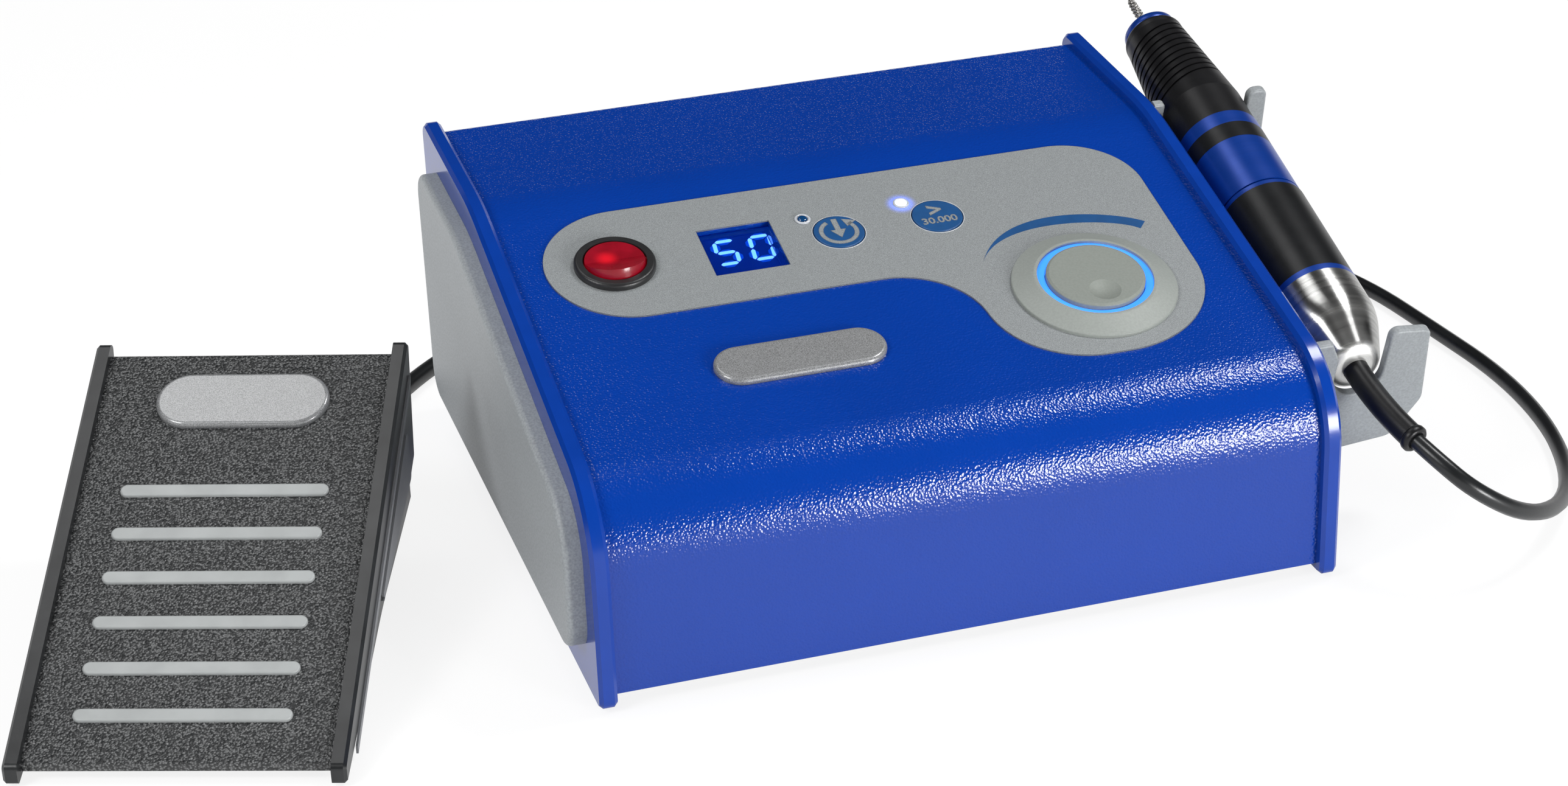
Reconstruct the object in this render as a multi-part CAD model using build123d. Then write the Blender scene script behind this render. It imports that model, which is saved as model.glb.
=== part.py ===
from build123d import *
import math
import os

# Micromotor polisher: control unit, handpiece in its side holder, foot pedal and two cables.
# All sizes are in millimetres. X runs to the right seen from the front, Y to the back, Z up,
# and the floor that the set stands on is Z = 0.

# Place of the shared zero, seen from the front corner of the control unit
SET_MIDDLE_X = -55.9
SET_MIDDLE_Y = 88.86

# Clearances that several pieces share
FLAT_GAP = 0.3
RUNNING_GAP = 0.3
FIT_GAP = 0.05
LEAST_EDGE = 0.005
OVERRUN = 2.0
FULL_TURN = 360.0

# Control unit: folded cover between two cheeks
COVER_WIDTH = 200.0
COVER_DEPTH = 188.5
COVER_THICKNESS = 2.0
COVER_BOTTOM = 4.0
SLOPE_START_HEIGHT = 57.77
SLOPE_ANGLE = 14.39
TOP_ANGLE = 2.75
TOP_KNEE_DEPTH = 127.7
FRONT_BEND_RADIUS = 24.0
TOP_BEND_RADIUS = 80.0
BACK_BEND_RADIUS = 3.0
CHEEK_THICKNESS = 5.0
CHEEK_PROUD = 3.0
CHEEK_CORNER_RADIUS = 5.0
CHEEK_BEVEL = 1.0

# Floor, rear wall and feet of the control unit
FLOOR_THICKNESS = 2.0
REAR_WALL_THICKNESS = 2.0
REAR_WALL_SETBACK = 2.0
VENT_COUNT = 9
VENT_WIDTH = 3.0
VENT_HEIGHT = 30.0
VENT_PITCH = 6.5
VENT_X = -5.0
VENT_Z = 58.0
FOOT_RADIUS = 7.0
FOOT_SINK = 1.5
FOOT_BEVEL = 0.8
FOOT_INSET = 16.0

# Grey panel on the left cheek
SIDE_PANEL_INSET = 6.5
SIDE_PANEL_THICKNESS = 5.0
SIDE_PANEL_BACK_SETBACK = 8.5
SIDE_PANEL_BOTTOM = 13.0
SIDE_PANEL_CORNER = 9.0
SIDE_PANEL_EDGE = 1.6

# Control foil on the slope, in across and up-the-slope places
FOIL_THICKNESS = 0.4
FOIL_LEFT_MARGIN = 9.2
FOIL_RIGHT_MARGIN = 12.0
FOIL_TOP = 122.8
FOIL_BAND_BOTTOM = 74.2
FOIL_LOBE_BOTTOM = 27.8
FOIL_LOBE_REACH = 30.3
FOIL_WAIST_REACH = 35.3
FOIL_TOP_RIGHT_RADIUS = 22.0
FOIL_LOBE_RIGHT_RADIUS = 32.5
FOIL_LOBE_LEFT_RADIUS = 26.5
FOIL_WAIST_RADIUS = 23.5

# Speed knob
KNOB_MARGIN = 44.2
KNOB_Y = 56.7
KNOB_BEZEL_RADIUS = 23.3
KNOB_BEZEL_HEIGHT = 3.4
KNOB_BEZEL_LIP = 0.9
LIGHT_RING_RADIUS = 16.3
LIGHT_RING_HEIGHT = 2.6
KNOB_RADIUS = 13.9
KNOB_RISE = 1.6
KNOB_EDGE = 0.8
DIMPLE_OFFSET = 7.1
DIMPLE_RADIUS = 4.5
DIMPLE_DEPTH = 1.1
KNOB_SHAFT_RADIUS = 3.0
KNOB_SHAFT_LENGTH = 9.0
POT_RADIUS = 8.0
POT_HEIGHT = 7.0

# Power rocker
ROCKER_MARGIN = 28.9
ROCKER_Y = 97.9
ROCKER_BEZEL_RADIUS = 11.5
ROCKER_BEZEL_HEIGHT = 2.0
ROCKER_HOLE_RADIUS = 9.0
ROCKER_BODY_DEPTH = 16.0
ROCKER_WALL = 1.2
ROCKER_TILT = 9.0
ROCKER_PIVOT_RISE = 0.5
ROCKER_VALLEY_RISE = 1.9
ROCKER_UNDERSIDE = 4.0
ROCKER_PIN_RADIUS = 1.2

# Two round foil keys
KEY_RADIUS = 7.28
KEY_GAP = 0.25
KEY_THICKNESS = 1.6
KEY_RISE = 0.3
KEY_TRAVEL = 0.45
KEY_EDGE = 0.3
KEY_STEM_RADIUS = 2.0
KEY_STEM_LENGTH = 11.0
SWITCH_SIDE = 7.0
DIRECTION_SHARE = -0.057
DIRECTION_Y = 97.6
LIMIT_SHARE = 0.239
LIMIT_Y = 98.0

# Display and indicator lights
DISPLAY_SHARE = -0.342
DISPLAY_Y = 97.2
DISPLAY_WIDTH = 21.4
DISPLAY_HEIGHT = 21.0
DISPLAY_DEPTH = 1.2
WINDOW_THICKNESS = 1.0
MODULE_RIM = 1.5
MODULE_RECESS = 0.4
LAMP_RADIUS = 1.5
LAMP_RISE = 0.7
DIRECTION_LAMP_SHARE = -0.14
DIRECTION_LAMP_Y = 105.8
LIMIT_LAMP_SHARE = 0.157
LIMIT_LAMP_Y = 106.3

# Bare domed badge on the slope
BADGE_SHARE = -0.33
BADGE_Y = 47.0
BADGE_LENGTH = 48.5
BADGE_WIDTH = 15.0
BADGE_HEIGHT = 1.8
BADGE_EDGE = 1.2

# Electronics inside the unit
BOARD_THICKNESS = 1.6
BOARD_SIDE_ROOM = 12.0
BOARD_LENGTH = 88.0
BOARD_START = 24.0
BOARD_DEPTH = 18.0
POST_RADIUS = 3.0
POST_INSET = 6.0
TRANSFORMER_RADIUS = 36.0
TRANSFORMER_BORE = 11.0
TRANSFORMER_HEIGHT = 32.0
TRANSFORMER_ROUND = 9.0
TRANSFORMER_SHARE = 0.3
TRANSFORMER_BACK_ROOM = 50.5

# Sockets and plugs on the rear wall
INLET_MARGIN = 30.0
INLET_Z = 38.0
INLET_WIDTH = 28.0
INLET_HEIGHT = 48.0
INLET_FLANGE = 2.5
INLET_CORNER = 4.0
INLET_MOUTH_WIDTH = 24.4
INLET_MOUTH_HEIGHT = 16.4
INLET_MOUTH_DEPTH = 15.0
INLET_MOUTH_DROP = 10.0
INLET_BODY_DEPTH = 22.0
INLET_PIN_WIDTH = 2.0
INLET_PIN_HEIGHT = 4.0
INLET_PIN_LENGTH = 12.0
INLET_PIN_PITCH = 7.0
INLET_PIN_STEP = 2.0
FUSE_WIDTH = 20.0
FUSE_HEIGHT = 14.0
FUSE_RISE = 1.2
HAND_SOCKET_MARGIN = 26.0
PEDAL_SOCKET_SHARE = 0.08
SOCKET_Z = 30.0
SOCKET_RADIUS = 9.0
SOCKET_FLANGE = 2.0
SOCKET_DEPTH = 14.0
SOCKET_BORE_DEPTH = 10.0
PLUG_RADIUS = 7.0
PLUG_LENGTH = 16.0
PLUG_NOSE_RADIUS = 5.0
PLUG_NOSE_LENGTH = 8.0
PLUG_SLEEVE_LENGTH = 13.0
PLUG_RIB_COUNT = 5
PLUG_RIB_DEPTH = 0.6

# Handpiece: its frame, and stations along its axis that grow towards the bur
HAND_REACH = 17.0
HAND_Y = 80.0
HAND_Z = 67.25
HAND_PITCH = 18.8
SLEEVE_RADIUS = 13.6
BAND_RADIUS = 13.4
GRIP_RADIUS = 13.2
GRIP_FRONT_RADIUS = 9.4
GRIP_TAPER_STATION = 55.0
GRIP_SHOULDER_STATION = 92.0
GRIP_FRONT_STATION = 95.0
GRIP_ROUND = 1.5
FRONT_BAND_TOP = 41.5
MARKING_BAND_TOP = 36.4
CHUCK_RING_TOP = 29.9
CHUCK_RING_GROOVE = 9.5
CHUCK_GROOVE_WIDTH = 0.6
CHUCK_GROOVE_DEPTH = 0.4
SLEEVE_TOP = 7.6
THIN_RING_TOP = -28.6
THIN_RING_LOW = -30.7
CAP_RADIUS = 13.65
CAP_SHOULDER_STATION = -43.0
CAP_SHOULDER_RADIUS = 22.0
CAP_END_RADIUS = 7.4
CAP_END_STATION = -58.5
CAP_END_ROUND = 4.5
CAP_ROOM_STATION = -46.0
CAP_ROOM_RADIUS = 8.0
TUBE_RADIUS = 11.5
TUBE_BORE = 10.0
NOSE_BORE = 6.0
NOSE_BORE_STATION = 62.0
GROOVE_COUNT = 10
GROOVE_FIRST = 63.0
GROOVE_PITCH = 2.9
GROOVE_WIDTH = 0.9
GROOVE_DEPTH = 0.5
GROOVE_TILT = 14.0
COLLAR_RADIUS = 5.0
COLLAR_END = 98.6
COLLAR_START = 90.5
COLLAR_ROUND = 2.0
BOOT_RADIUS = 3.6
BOOT_START = -48.0
BOOT_BEND_START = -57.5
BOOT_BEND_RADIUS = 105.0
BOOT_BEND_ANGLE = 17.0
BOOT_END_ROUND = 0.6
STATOR_LOW = -18.0
STATOR_HIGH = 30.0
STATOR_BORE = 6.0
ROTOR_RADIUS = 5.6
ROTOR_LOW = -14.0
ROTOR_HIGH = 26.0
SHAFT_RADIUS = 2.5
SHAFT_LOW = -27.0
SHAFT_HIGH = 93.0
BEARING_WIDTH = 5.0
FRONT_BEARING_STATION = 84.0
COLLET_RADIUS = 2.8
COLLET_END = 100.2
COLLET_SLOTS = 3
COLLET_SLOT_WIDTH = 0.6
BUR_SHANK_RADIUS = 1.175
BUR_START = 94.0
BUR_HEAD_START = 103.5
BUR_WIDEST_STATION = 106.6
BUR_HEAD_RADIUS = 1.45
BUR_TIP_STATION = 114.6
BUR_NECK_RADIUS = 0.9
BUR_TIP_SHARE = 0.8
BUR_TIP_ROUND_SHARE = 0.7

# Holder on the right cheek: places across and up from the handpiece's axis
HOLDER_THICKNESS = 3.0
HOLDER_STRIP = 2.4
HOLDER_STRIP_TOP = -8.0
HOLDER_EDGE = 0.8
FRONT_FORK_STATION = -57.8
FRONT_NOTCH = 7.3
NEARLY_ROUND_SHARE = 0.999
FRONT_INNER_TOP = 13.5
FRONT_INNER_WIDTH = 6.7
FRONT_OUTER_TOP = 14.8
FRONT_OUTER_X = 19.4
FRONT_OUTER_SHOULDER = 13.2
FRONT_WIDEST_X = 22.4
FRONT_WIDEST_Z = -13.5
FRONT_HEEL_X = 15.5
FRONT_HEEL_Z = -27.0
FRONT_BOTTOM = -30.5
FORK_TIP_ROUND = 2.5
FORK_SIDE_ROUND = 5.0
FORK_HEEL_ROUND = 10.0
REAR_FORK_STATION = 53.5
REAR_CRADLE_GAP = 0.4
REAR_TOP = 8.5
REAR_INNER_ROUND = 1.2
REAR_OUTER_X = 19.6
REAR_WIDEST_X = 21.0
REAR_WIDEST_Z = -12.0
REAR_HEEL_X = 15.0
REAR_HEEL_Z = -26.0
REAR_BOTTOM = -28.0

# Foot pedal: its frame on the floor, then places along it and above the floor
PEDAL_REACH = 108.75
PEDAL_Y = 4.31
PEDAL_TURN = -20.0
PEDAL_FRONT_HEIGHT = 5.1
PEDAL_TILT = 22.8
PEDAL_WIDTH = 80.1
PEDAL_LENGTH = 141.6
PEDAL_SHEET = 2.0
PEDAL_REAR_FOOT_Y = 124.0
PEDAL_REAR_FOOT_Z = 29.0
PEDAL_CHEEK_THICKNESS = 4.0
PEDAL_CHEEK_PROUD = 2.5
PEDAL_CHEEK_BEVEL = 0.8
PEDAL_CHEEK_FRONT = -3.5
PEDAL_CHEEK_FRONT_FOOT = 0.8
PEDAL_CHEEK_FRONT_TOP = 6.2
PEDAL_CHEEK_REAR = 131.5
PEDAL_CHEEK_REAR_FOOT_Y = 124.5
PEDAL_CHEEK_REAR_FOOT_Z = 28.6
PEDAL_CHEEK_NOTCH_Y = 114.2
PEDAL_CHEEK_NOTCH_TOP = 24.8
PEDAL_CHEEK_NOTCH_LOW = 20.6
PEDAL_CHEEK_BELLY_Y = 60.7
PEDAL_CHEEK_BELLY_Z = 15.2
PEDAL_CORNER = 2.0
STRIP_COUNT = 6
STRIP_LEFT = -29.1
STRIP_RIGHT = 28.0
STRIP_FIRST = 14.7
STRIP_PITCH = 14.9
STRIP_WIDTH = 4.0
STRIP_RISE = 1.0
STRIP_ROUND = 0.6
PEDAL_BADGE_Y = 121.2
PEDAL_BADGE_WIDTH = 19.0
INLAY_THICKNESS = 0.6
INLAY_STRIPE_WIDTH = 2.0
INLAY_STRIPE_DROP = 5.0
INLAY_MARGIN = 5.0
INLAY_WEDGE_DROP = 10.0
HINGE_Y = 12.0
HINGE_Z = 6.3
HINGE_PIN_RADIUS = 1.2
HINGE_PIN_END = 43.0
PEDAL_BASE_WIDTH = 72.0
PEDAL_BASE_FRONT = 6.0
PEDAL_BASE_REAR = 108.0
PEDAL_BASE_BOTTOM = 1.5
PEDAL_BASE_FRONT_TOP = 4.7
PEDAL_BASE_MIDDLE_Y = 92.0
PEDAL_BASE_MIDDLE_TOP = 30.0
PEDAL_BASE_REAR_TOP = 26.0
PEDAL_BASE_ROUND = 2.0
PEDAL_FOOT_RADIUS = 6.0
PEDAL_FOOT_INSET = 12.0
SPRING_Y = 66.0
SPRING_SIDE = 20.0
SPRING_RADIUS = 5.0
SPRING_WIRE = 1.2
SPRING_WELL = 8.0
BOSS_RADIUS = 6.5
BOSS_HEIGHT = 5.0
BOSS_ROOM = 1.5
GLAND_X = 20.0
GLAND_Z = 10.0
GLAND_RADIUS = 5.0
GLAND_LENGTH = 9.0
GLAND_COLLAR = 3.0
GLAND_ROUND = 1.0

# Cables: diameter, and the neat coil behind the unit that holds the length out of sight
HAND_CABLE_RADIUS = 2.4
PEDAL_CABLE_RADIUS = 2.8
COIL_PITCH_SHARE = 1.12
COIL_BACK_ROOM = 107.5
HAND_COIL_REACH = 5.0
HAND_COIL_MEAN = 27.6
HAND_COIL_LAYERS = 2
HAND_COIL_HALF_TURNS = 4
PEDAL_COIL_X = -30.0
PEDAL_COIL_MEAN = 30.8
PEDAL_COIL_LAYERS = 4
PEDAL_COIL_HALF_TURNS = 3
LEAD_RUN = 21.0
BOOT_RUN = 8.6
GLAND_RUN = 18.0
COIL_RUN = 25.0
CORNER_SHARE = 0.45
WANTED_BEND_DIAMETERS = 5
NEIGHBOUR_DIAMETERS = 4
GAP_SAMPLES = 400

# Routes of the free cables, as corner points out from the right cheek and from the left cheek
HAND_ROUTE = [
    (31.5, -20.0, 29.3),
    (48.0, -19.5, 18.5),
    (69.0, -3.0, 9.3),
    (87.0, 24.0, 3.4),
    (98.0, 56.0, 2.4),
    (101.5, 92.0, 2.4),
    (97.5, 130.0, 2.4),
    (93.5, 165.0, 2.4),
    (81.0, 200.0, 2.4),
    (55.0, 236.0, 2.4),
]
PEDAL_ROUTE = [
    (-33.0, 154.0, 2.8),
    (-22.0, 190.0, 2.8),
    (2.0, 219.0, 2.8),
    (29.0, 238.0, 2.8),
]

HALF_WIDTH = COVER_WIDTH / 2
CHEEK_FACE = HALF_WIDTH + CHEEK_THICKNESS
HAND_X = CHEEK_FACE + HAND_REACH
PEDAL_X = -CHEEK_FACE - PEDAL_REACH
KNOB_X = HALF_WIDTH - KNOB_MARGIN
ROCKER_X = ROCKER_MARGIN - HALF_WIDTH
DISPLAY_X = DISPLAY_SHARE * HALF_WIDTH
BADGE_X = BADGE_SHARE * HALF_WIDTH
FOIL_LEFT = FOIL_LEFT_MARGIN - HALF_WIDTH
FOIL_RIGHT = HALF_WIDTH - FOIL_RIGHT_MARGIN
FOIL_LOBE_LEFT = KNOB_X - FOIL_LOBE_REACH
FOIL_WAIST = KNOB_X - FOIL_WAIST_REACH
BOARD_WIDTH = COVER_WIDTH - 2 * BOARD_SIDE_ROOM
INLET_X = INLET_MARGIN - HALF_WIDTH
HAND_SOCKET_X = HALF_WIDTH - HAND_SOCKET_MARGIN
PEDAL_SOCKET_X = PEDAL_SOCKET_SHARE * HALF_WIDTH
COIL_Y = COVER_DEPTH + COIL_BACK_ROOM
HAND_COIL_X = CHEEK_FACE + HAND_COIL_REACH
SLOPE = math.tan(math.radians(SLOPE_ANGLE))
TOP_SLOPE = math.tan(math.radians(TOP_ANGLE))
KNEE_HEIGHT = SLOPE_START_HEIGHT + SLOPE * TOP_KNEE_DEPTH
FLOOR_TOP = COVER_BOTTOM + FLOOR_THICKNESS
REAR_WALL_BACK = COVER_DEPTH - REAR_WALL_SETBACK
SLOPE_UP = Vector(0, math.cos(math.radians(SLOPE_ANGLE)), math.sin(math.radians(SLOPE_ANGLE)))
SLOPE_OUT = Vector(0, -math.sin(math.radians(SLOPE_ANGLE)), math.cos(math.radians(SLOPE_ANGLE)))
PANEL = Plane(origin=(0, 0, SLOPE_START_HEIGHT), x_dir=(1, 0, 0), z_dir=SLOPE_OUT)
KEY_PLACES = [(DIRECTION_SHARE * HALF_WIDTH, DIRECTION_Y), (LIMIT_SHARE * HALF_WIDTH, LIMIT_Y)]
LAMP_PLACES = [(DIRECTION_LAMP_SHARE * HALF_WIDTH, DIRECTION_LAMP_Y),
               (LIMIT_LAMP_SHARE * HALF_WIDTH, LIMIT_LAMP_Y)]


def rounded_face(corners):
    """Flat outline in X and Y whose corners (x, y, radius) are rounded one by one."""
    places = [Vector(x, y) for x, y, radius in corners]
    bends = []
    for number, (x, y, radius) in enumerate(corners):
        here = places[number]
        back = (places[number - 1] - here).normalized()
        ahead = (places[(number + 1) % len(places)] - here).normalized()
        if radius == 0:
            bends.append((here, None, here))
            continue
        half = math.radians(back.get_angle(ahead)) / 2
        middle = (back + ahead).normalized()
        run = radius / math.tan(half)
        top = here + middle * (radius / math.sin(half) - radius)
        bends.append((here + back * run, top, here + ahead * run))
    edges = []
    for number, (start, top, stop) in enumerate(bends):
        if top is not None:
            edges.append(ThreePointArc(start, top, stop))
        following = bends[(number + 1) % len(bends)][0]
        if (following - stop).length > LEAST_EDGE:
            edges.append(Line(stop, following))
    return make_face(edges)


def side_plane(x):
    """Plane across X with its own X along the depth and its own Y up."""
    return Plane(origin=(x, 0, 0), x_dir=(0, 1, 0), z_dir=(1, 0, 0))


def panel_plane(x, y, rise=0):
    """Plane on the slope, at a place across and up it, raised along its normal."""
    return PANEL * Pos(x, y, rise)


def cylinder_between(radius, low, high):
    """Upright cylinder from one height to another."""
    return Pos(0, 0, (low + high) / 2) * Cylinder(radius, high - low)


def block(x_low, x_high, y_low, y_high, z_low, z_high):
    """Box by its six faces."""
    middle = Pos((x_low + x_high) / 2, (y_low + y_high) / 2, (z_low + z_high) / 2)
    return middle * Box(x_high - x_low, y_high - y_low, z_high - z_low)


def turned(corners):
    """Solid of revolution about Z from corners (radius out, height, corner radius)."""
    return revolve(Plane.XZ * rounded_face(corners), Axis.Z)


def ring(outer, inner, low, high):
    """Plain ring about Z."""
    return cylinder_between(outer, low, high) - cylinder_between(inner, low, high)


def unit_outline(offset, bottom, back_radius):
    """Side outline of the unit, moved out by an offset, as a flat face."""
    front_shift = offset * math.tan(math.radians(90 - SLOPE_ANGLE) / 2)
    knee_shift = offset * math.tan(math.radians(SLOPE_ANGLE - TOP_ANGLE) / 2)
    front = -offset
    front_corner = SLOPE_START_HEIGHT + front_shift
    knee = Vector(TOP_KNEE_DEPTH, KNEE_HEIGHT) + Vector(SLOPE_OUT.Y, SLOPE_OUT.Z) * offset
    knee = knee + Vector(SLOPE_UP.Y, SLOPE_UP.Z) * knee_shift
    back = COVER_DEPTH + offset
    back_corner = knee.Y + TOP_SLOPE * (back - knee.X)
    corners = [
        (front, bottom, 0),
        (front, front_corner, FRONT_BEND_RADIUS + offset),
        (knee.X, knee.Y, TOP_BEND_RADIUS + offset),
        (back, back_corner, back_radius),
        (back, bottom, 0),
    ]
    return rounded_face(corners)


def inner_space(x_low, x_high):
    """Solid that fills the room under the folded cover."""
    width = x_high - x_low
    face = unit_outline(-COVER_THICKNESS, FLOOR_TOP, 0)
    return extrude(side_plane(x_low) * face, width)


def panel_disc(x, y, radius, low, high):
    """Cylinder square to the slope."""
    return PANEL * Pos(x, y, 0) * cylinder_between(radius, low, high)


def panel_block(x, y, width, height, low, high):
    """Box square to the slope, by its middle."""
    return PANEL * Pos(x, y, (low + high) / 2) * Box(width, height, high - low)


def rocker_barrel_radius():
    """Outer radius of the switch body under the slope."""
    return ROCKER_HOLE_RADIUS + ROCKER_WALL


def panel_openings():
    """Cuts that the slope and its foil share."""
    low = -COVER_THICKNESS - OVERRUN
    high = FOIL_THICKNESS + OVERRUN
    display = panel_block(DISPLAY_X, DISPLAY_Y, DISPLAY_WIDTH, DISPLAY_HEIGHT, low, high)
    rocker = panel_disc(ROCKER_X, ROCKER_Y, rocker_barrel_radius() + FIT_GAP, low, high)
    shaft = panel_disc(KNOB_X, KNOB_Y, KNOB_SHAFT_RADIUS + RUNNING_GAP, low, high)
    cuts = [display, rocker, shaft]
    for x, y in KEY_PLACES:
        cuts.append(panel_disc(x, y, KEY_RADIUS + KEY_GAP, low, high))
    for x, y in LAMP_PLACES:
        cuts.append(panel_disc(x, y, LAMP_RADIUS + FIT_GAP, low, high))
    return cuts


def make_top_cover():
    """Folded sheet: front, front bend, slope and top in one, with studs for the board."""
    outside = unit_outline(0, COVER_BOTTOM, BACK_BEND_RADIUS)
    inside = unit_outline(-COVER_THICKNESS, COVER_BOTTOM - OVERRUN, 0)
    cover = extrude(side_plane(-HALF_WIDTH) * outside, COVER_WIDTH)
    cover -= extrude(side_plane(-HALF_WIDTH - OVERRUN) * inside, COVER_WIDTH + 2 * OVERRUN)
    underside = inner_space(-HALF_WIDTH, HALF_WIDTH).bounding_box().max.Z
    back_low = REAR_WALL_BACK - OVERRUN
    back_high = COVER_DEPTH + OVERRUN
    cover -= block(-HALF_WIDTH - OVERRUN, HALF_WIDTH + OVERRUN, back_low, back_high,
                   COVER_BOTTOM - OVERRUN, underside)
    for cut in panel_openings():
        cover -= cut
    for x, y in board_posts():
        cover += panel_disc(x, y, POST_RADIUS, -BOARD_DEPTH, -COVER_THICKNESS)
    return cover


def board_posts():
    """Places of the four studs that carry the board."""
    side = BOARD_WIDTH / 2 - POST_INSET
    return [(x, y) for x in (-side, side)
            for y in (BOARD_START + POST_INSET, BOARD_START + BOARD_LENGTH - POST_INSET)]


def make_base_plate():
    """Steel floor between the cheeks."""
    return block(-HALF_WIDTH, HALF_WIDTH, COVER_THICKNESS, REAR_WALL_BACK, COVER_BOTTOM, FLOOR_TOP)


def rear_plane(x, z):
    """Plane on the back of the rear wall, its normal pointing backwards."""
    return Plane(origin=(x, REAR_WALL_BACK, z), x_dir=(-1, 0, 0), z_dir=(0, 1, 0))


def make_rear_panel():
    """Rear wall with vents and the cut-outs of its sockets."""
    front = REAR_WALL_BACK - REAR_WALL_THICKNESS
    wall = inner_space(-HALF_WIDTH, HALF_WIDTH)
    wall &= block(-HALF_WIDTH, HALF_WIDTH, front, REAR_WALL_BACK, 0, 2 * COVER_DEPTH)
    reach = 2 * (REAR_WALL_THICKNESS + OVERRUN)
    slot = SlotOverall(VENT_HEIGHT, VENT_WIDTH, rotation=90)
    for number in range(VENT_COUNT):
        x = VENT_X + (number - (VENT_COUNT - 1) / 2) * VENT_PITCH
        wall -= extrude(rear_plane(x, VENT_Z) * slot, reach / 2, both=True)
    wall -= rear_plane(INLET_X, INLET_Z) * Box(INLET_MOUTH_WIDTH + 2 * FIT_GAP,
                                                INLET_HEIGHT - 2 * INLET_FLANGE + 2 * FIT_GAP, reach)
    for x in (HAND_SOCKET_X, PEDAL_SOCKET_X):
        barrel = SOCKET_RADIUS - SOCKET_FLANGE + FIT_GAP
        wall -= rear_plane(x, SOCKET_Z) * Cylinder(barrel, reach)
    return wall


def make_cheek(x_low):
    """Moulded side cheek, standing proud of the sheet all round, with bevelled rims."""
    face = unit_outline(CHEEK_PROUD, COVER_BOTTOM - CHEEK_PROUD, CHEEK_CORNER_RADIUS)
    cheek = extrude(side_plane(x_low) * face, CHEEK_THICKNESS)
    low_edges = cheek.edges().filter_by(Axis.X).sort_by(Axis.Z)[:2]
    cheek = fillet(low_edges, CHEEK_CORNER_RADIUS / 2)
    rims = cheek.faces().filter_by(Axis.X).edges()
    return chamfer(rims, CHEEK_BEVEL)


def make_left_side_panel():
    """Grey cushion-edged panel on the left cheek."""
    face = unit_outline(-SIDE_PANEL_INSET, SIDE_PANEL_BOTTOM, 0)
    back = COVER_DEPTH - SIDE_PANEL_BACK_SETBACK
    panel = extrude(side_plane(-CHEEK_FACE - SIDE_PANEL_THICKNESS) * face, SIDE_PANEL_THICKNESS)
    panel &= block(-2 * CHEEK_FACE, 0, -COVER_DEPTH, back, 0, COVER_DEPTH)
    corners = panel.edges().filter_by(Axis.X)
    low = corners.sort_by(Axis.Z)[:2]
    high = corners.group_by(Axis.Y)[-1].sort_by(Axis.Z)[-1:]
    panel = fillet(low + high, SIDE_PANEL_CORNER)
    outer = panel.faces().sort_by(Axis.X)[0].edges()
    return fillet(outer, SIDE_PANEL_EDGE)


def make_control_foil():
    """Thin foil on the slope: a band with a round left end and a lobe round the knob."""
    end_radius = (FOIL_TOP - FOIL_BAND_BOTTOM) / 2
    face = rounded_face([
        (FOIL_LEFT, FOIL_TOP, end_radius),
        (FOIL_LEFT, FOIL_BAND_BOTTOM, end_radius),
        (FOIL_WAIST, FOIL_BAND_BOTTOM, FOIL_WAIST_RADIUS),
        (FOIL_LOBE_LEFT, FOIL_LOBE_BOTTOM, FOIL_LOBE_LEFT_RADIUS),
        (FOIL_RIGHT, FOIL_LOBE_BOTTOM, FOIL_LOBE_RIGHT_RADIUS),
        (FOIL_RIGHT, FOIL_TOP, FOIL_TOP_RIGHT_RADIUS),
    ])
    foil = extrude(PANEL * face, FOIL_THICKNESS)
    for cut in panel_openings():
        foil -= cut
    return foil


def make_display_window():
    """Clear window, sunk in the slope."""
    width = DISPLAY_WIDTH - 2 * FIT_GAP
    height = DISPLAY_HEIGHT - 2 * FIT_GAP
    return panel_block(DISPLAY_X, DISPLAY_Y, width, height, -DISPLAY_DEPTH - WINDOW_THICKNESS,
                       -DISPLAY_DEPTH)


def make_display_module():
    """Display block under the window, with a shallow tray for the digits."""
    top = -DISPLAY_DEPTH - WINDOW_THICKNESS
    width = DISPLAY_WIDTH + 2 * MODULE_RIM
    height = DISPLAY_HEIGHT + 2 * MODULE_RIM
    module = panel_block(DISPLAY_X, DISPLAY_Y, width, height, -BOARD_DEPTH, top)
    tray_width = DISPLAY_WIDTH - 2 * MODULE_RIM
    tray_height = DISPLAY_HEIGHT - 2 * MODULE_RIM
    return module - panel_block(DISPLAY_X, DISPLAY_Y, tray_width, tray_height, top - MODULE_RECESS,
                                top + OVERRUN)


def make_lamp(x, y):
    """Light pipe from the board to a small dome on the foil."""
    top = FOIL_THICKNESS + LAMP_RISE
    pipe = turned([(0, -BOARD_DEPTH, 0), (LAMP_RADIUS, -BOARD_DEPTH, 0),
                   (LAMP_RADIUS, top, LAMP_RISE), (0, top, 0)])
    return PANEL * Pos(x, y, 0) * pipe


def make_rocker_bezel():
    """Black switch body: rounded flange on the foil and a closed barrel under it."""
    flange_top = FOIL_THICKNESS + ROCKER_BEZEL_HEIGHT
    barrel = rocker_barrel_radius()
    body = turned([
        (0, -ROCKER_BODY_DEPTH, 0),
        (barrel, -ROCKER_BODY_DEPTH, 0),
        (barrel, FOIL_THICKNESS, 0),
        (ROCKER_BEZEL_RADIUS, FOIL_THICKNESS, 0),
        (ROCKER_BEZEL_RADIUS, flange_top, ROCKER_BEZEL_HEIGHT / 2),
        (ROCKER_HOLE_RADIUS, flange_top, 0),
        (ROCKER_HOLE_RADIUS, ROCKER_WALL - ROCKER_BODY_DEPTH, 0),
        (0, ROCKER_WALL - ROCKER_BODY_DEPTH, 0),
    ])
    pin_hole = Pos(0, 0, ROCKER_PIVOT_RISE) * Rot(0, 90, 0) * Cylinder(
        ROCKER_PIN_RADIUS + FIT_GAP, 2 * barrel)
    return PANEL * Pos(ROCKER_X, ROCKER_Y, 0) * (body - pin_hole)


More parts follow.
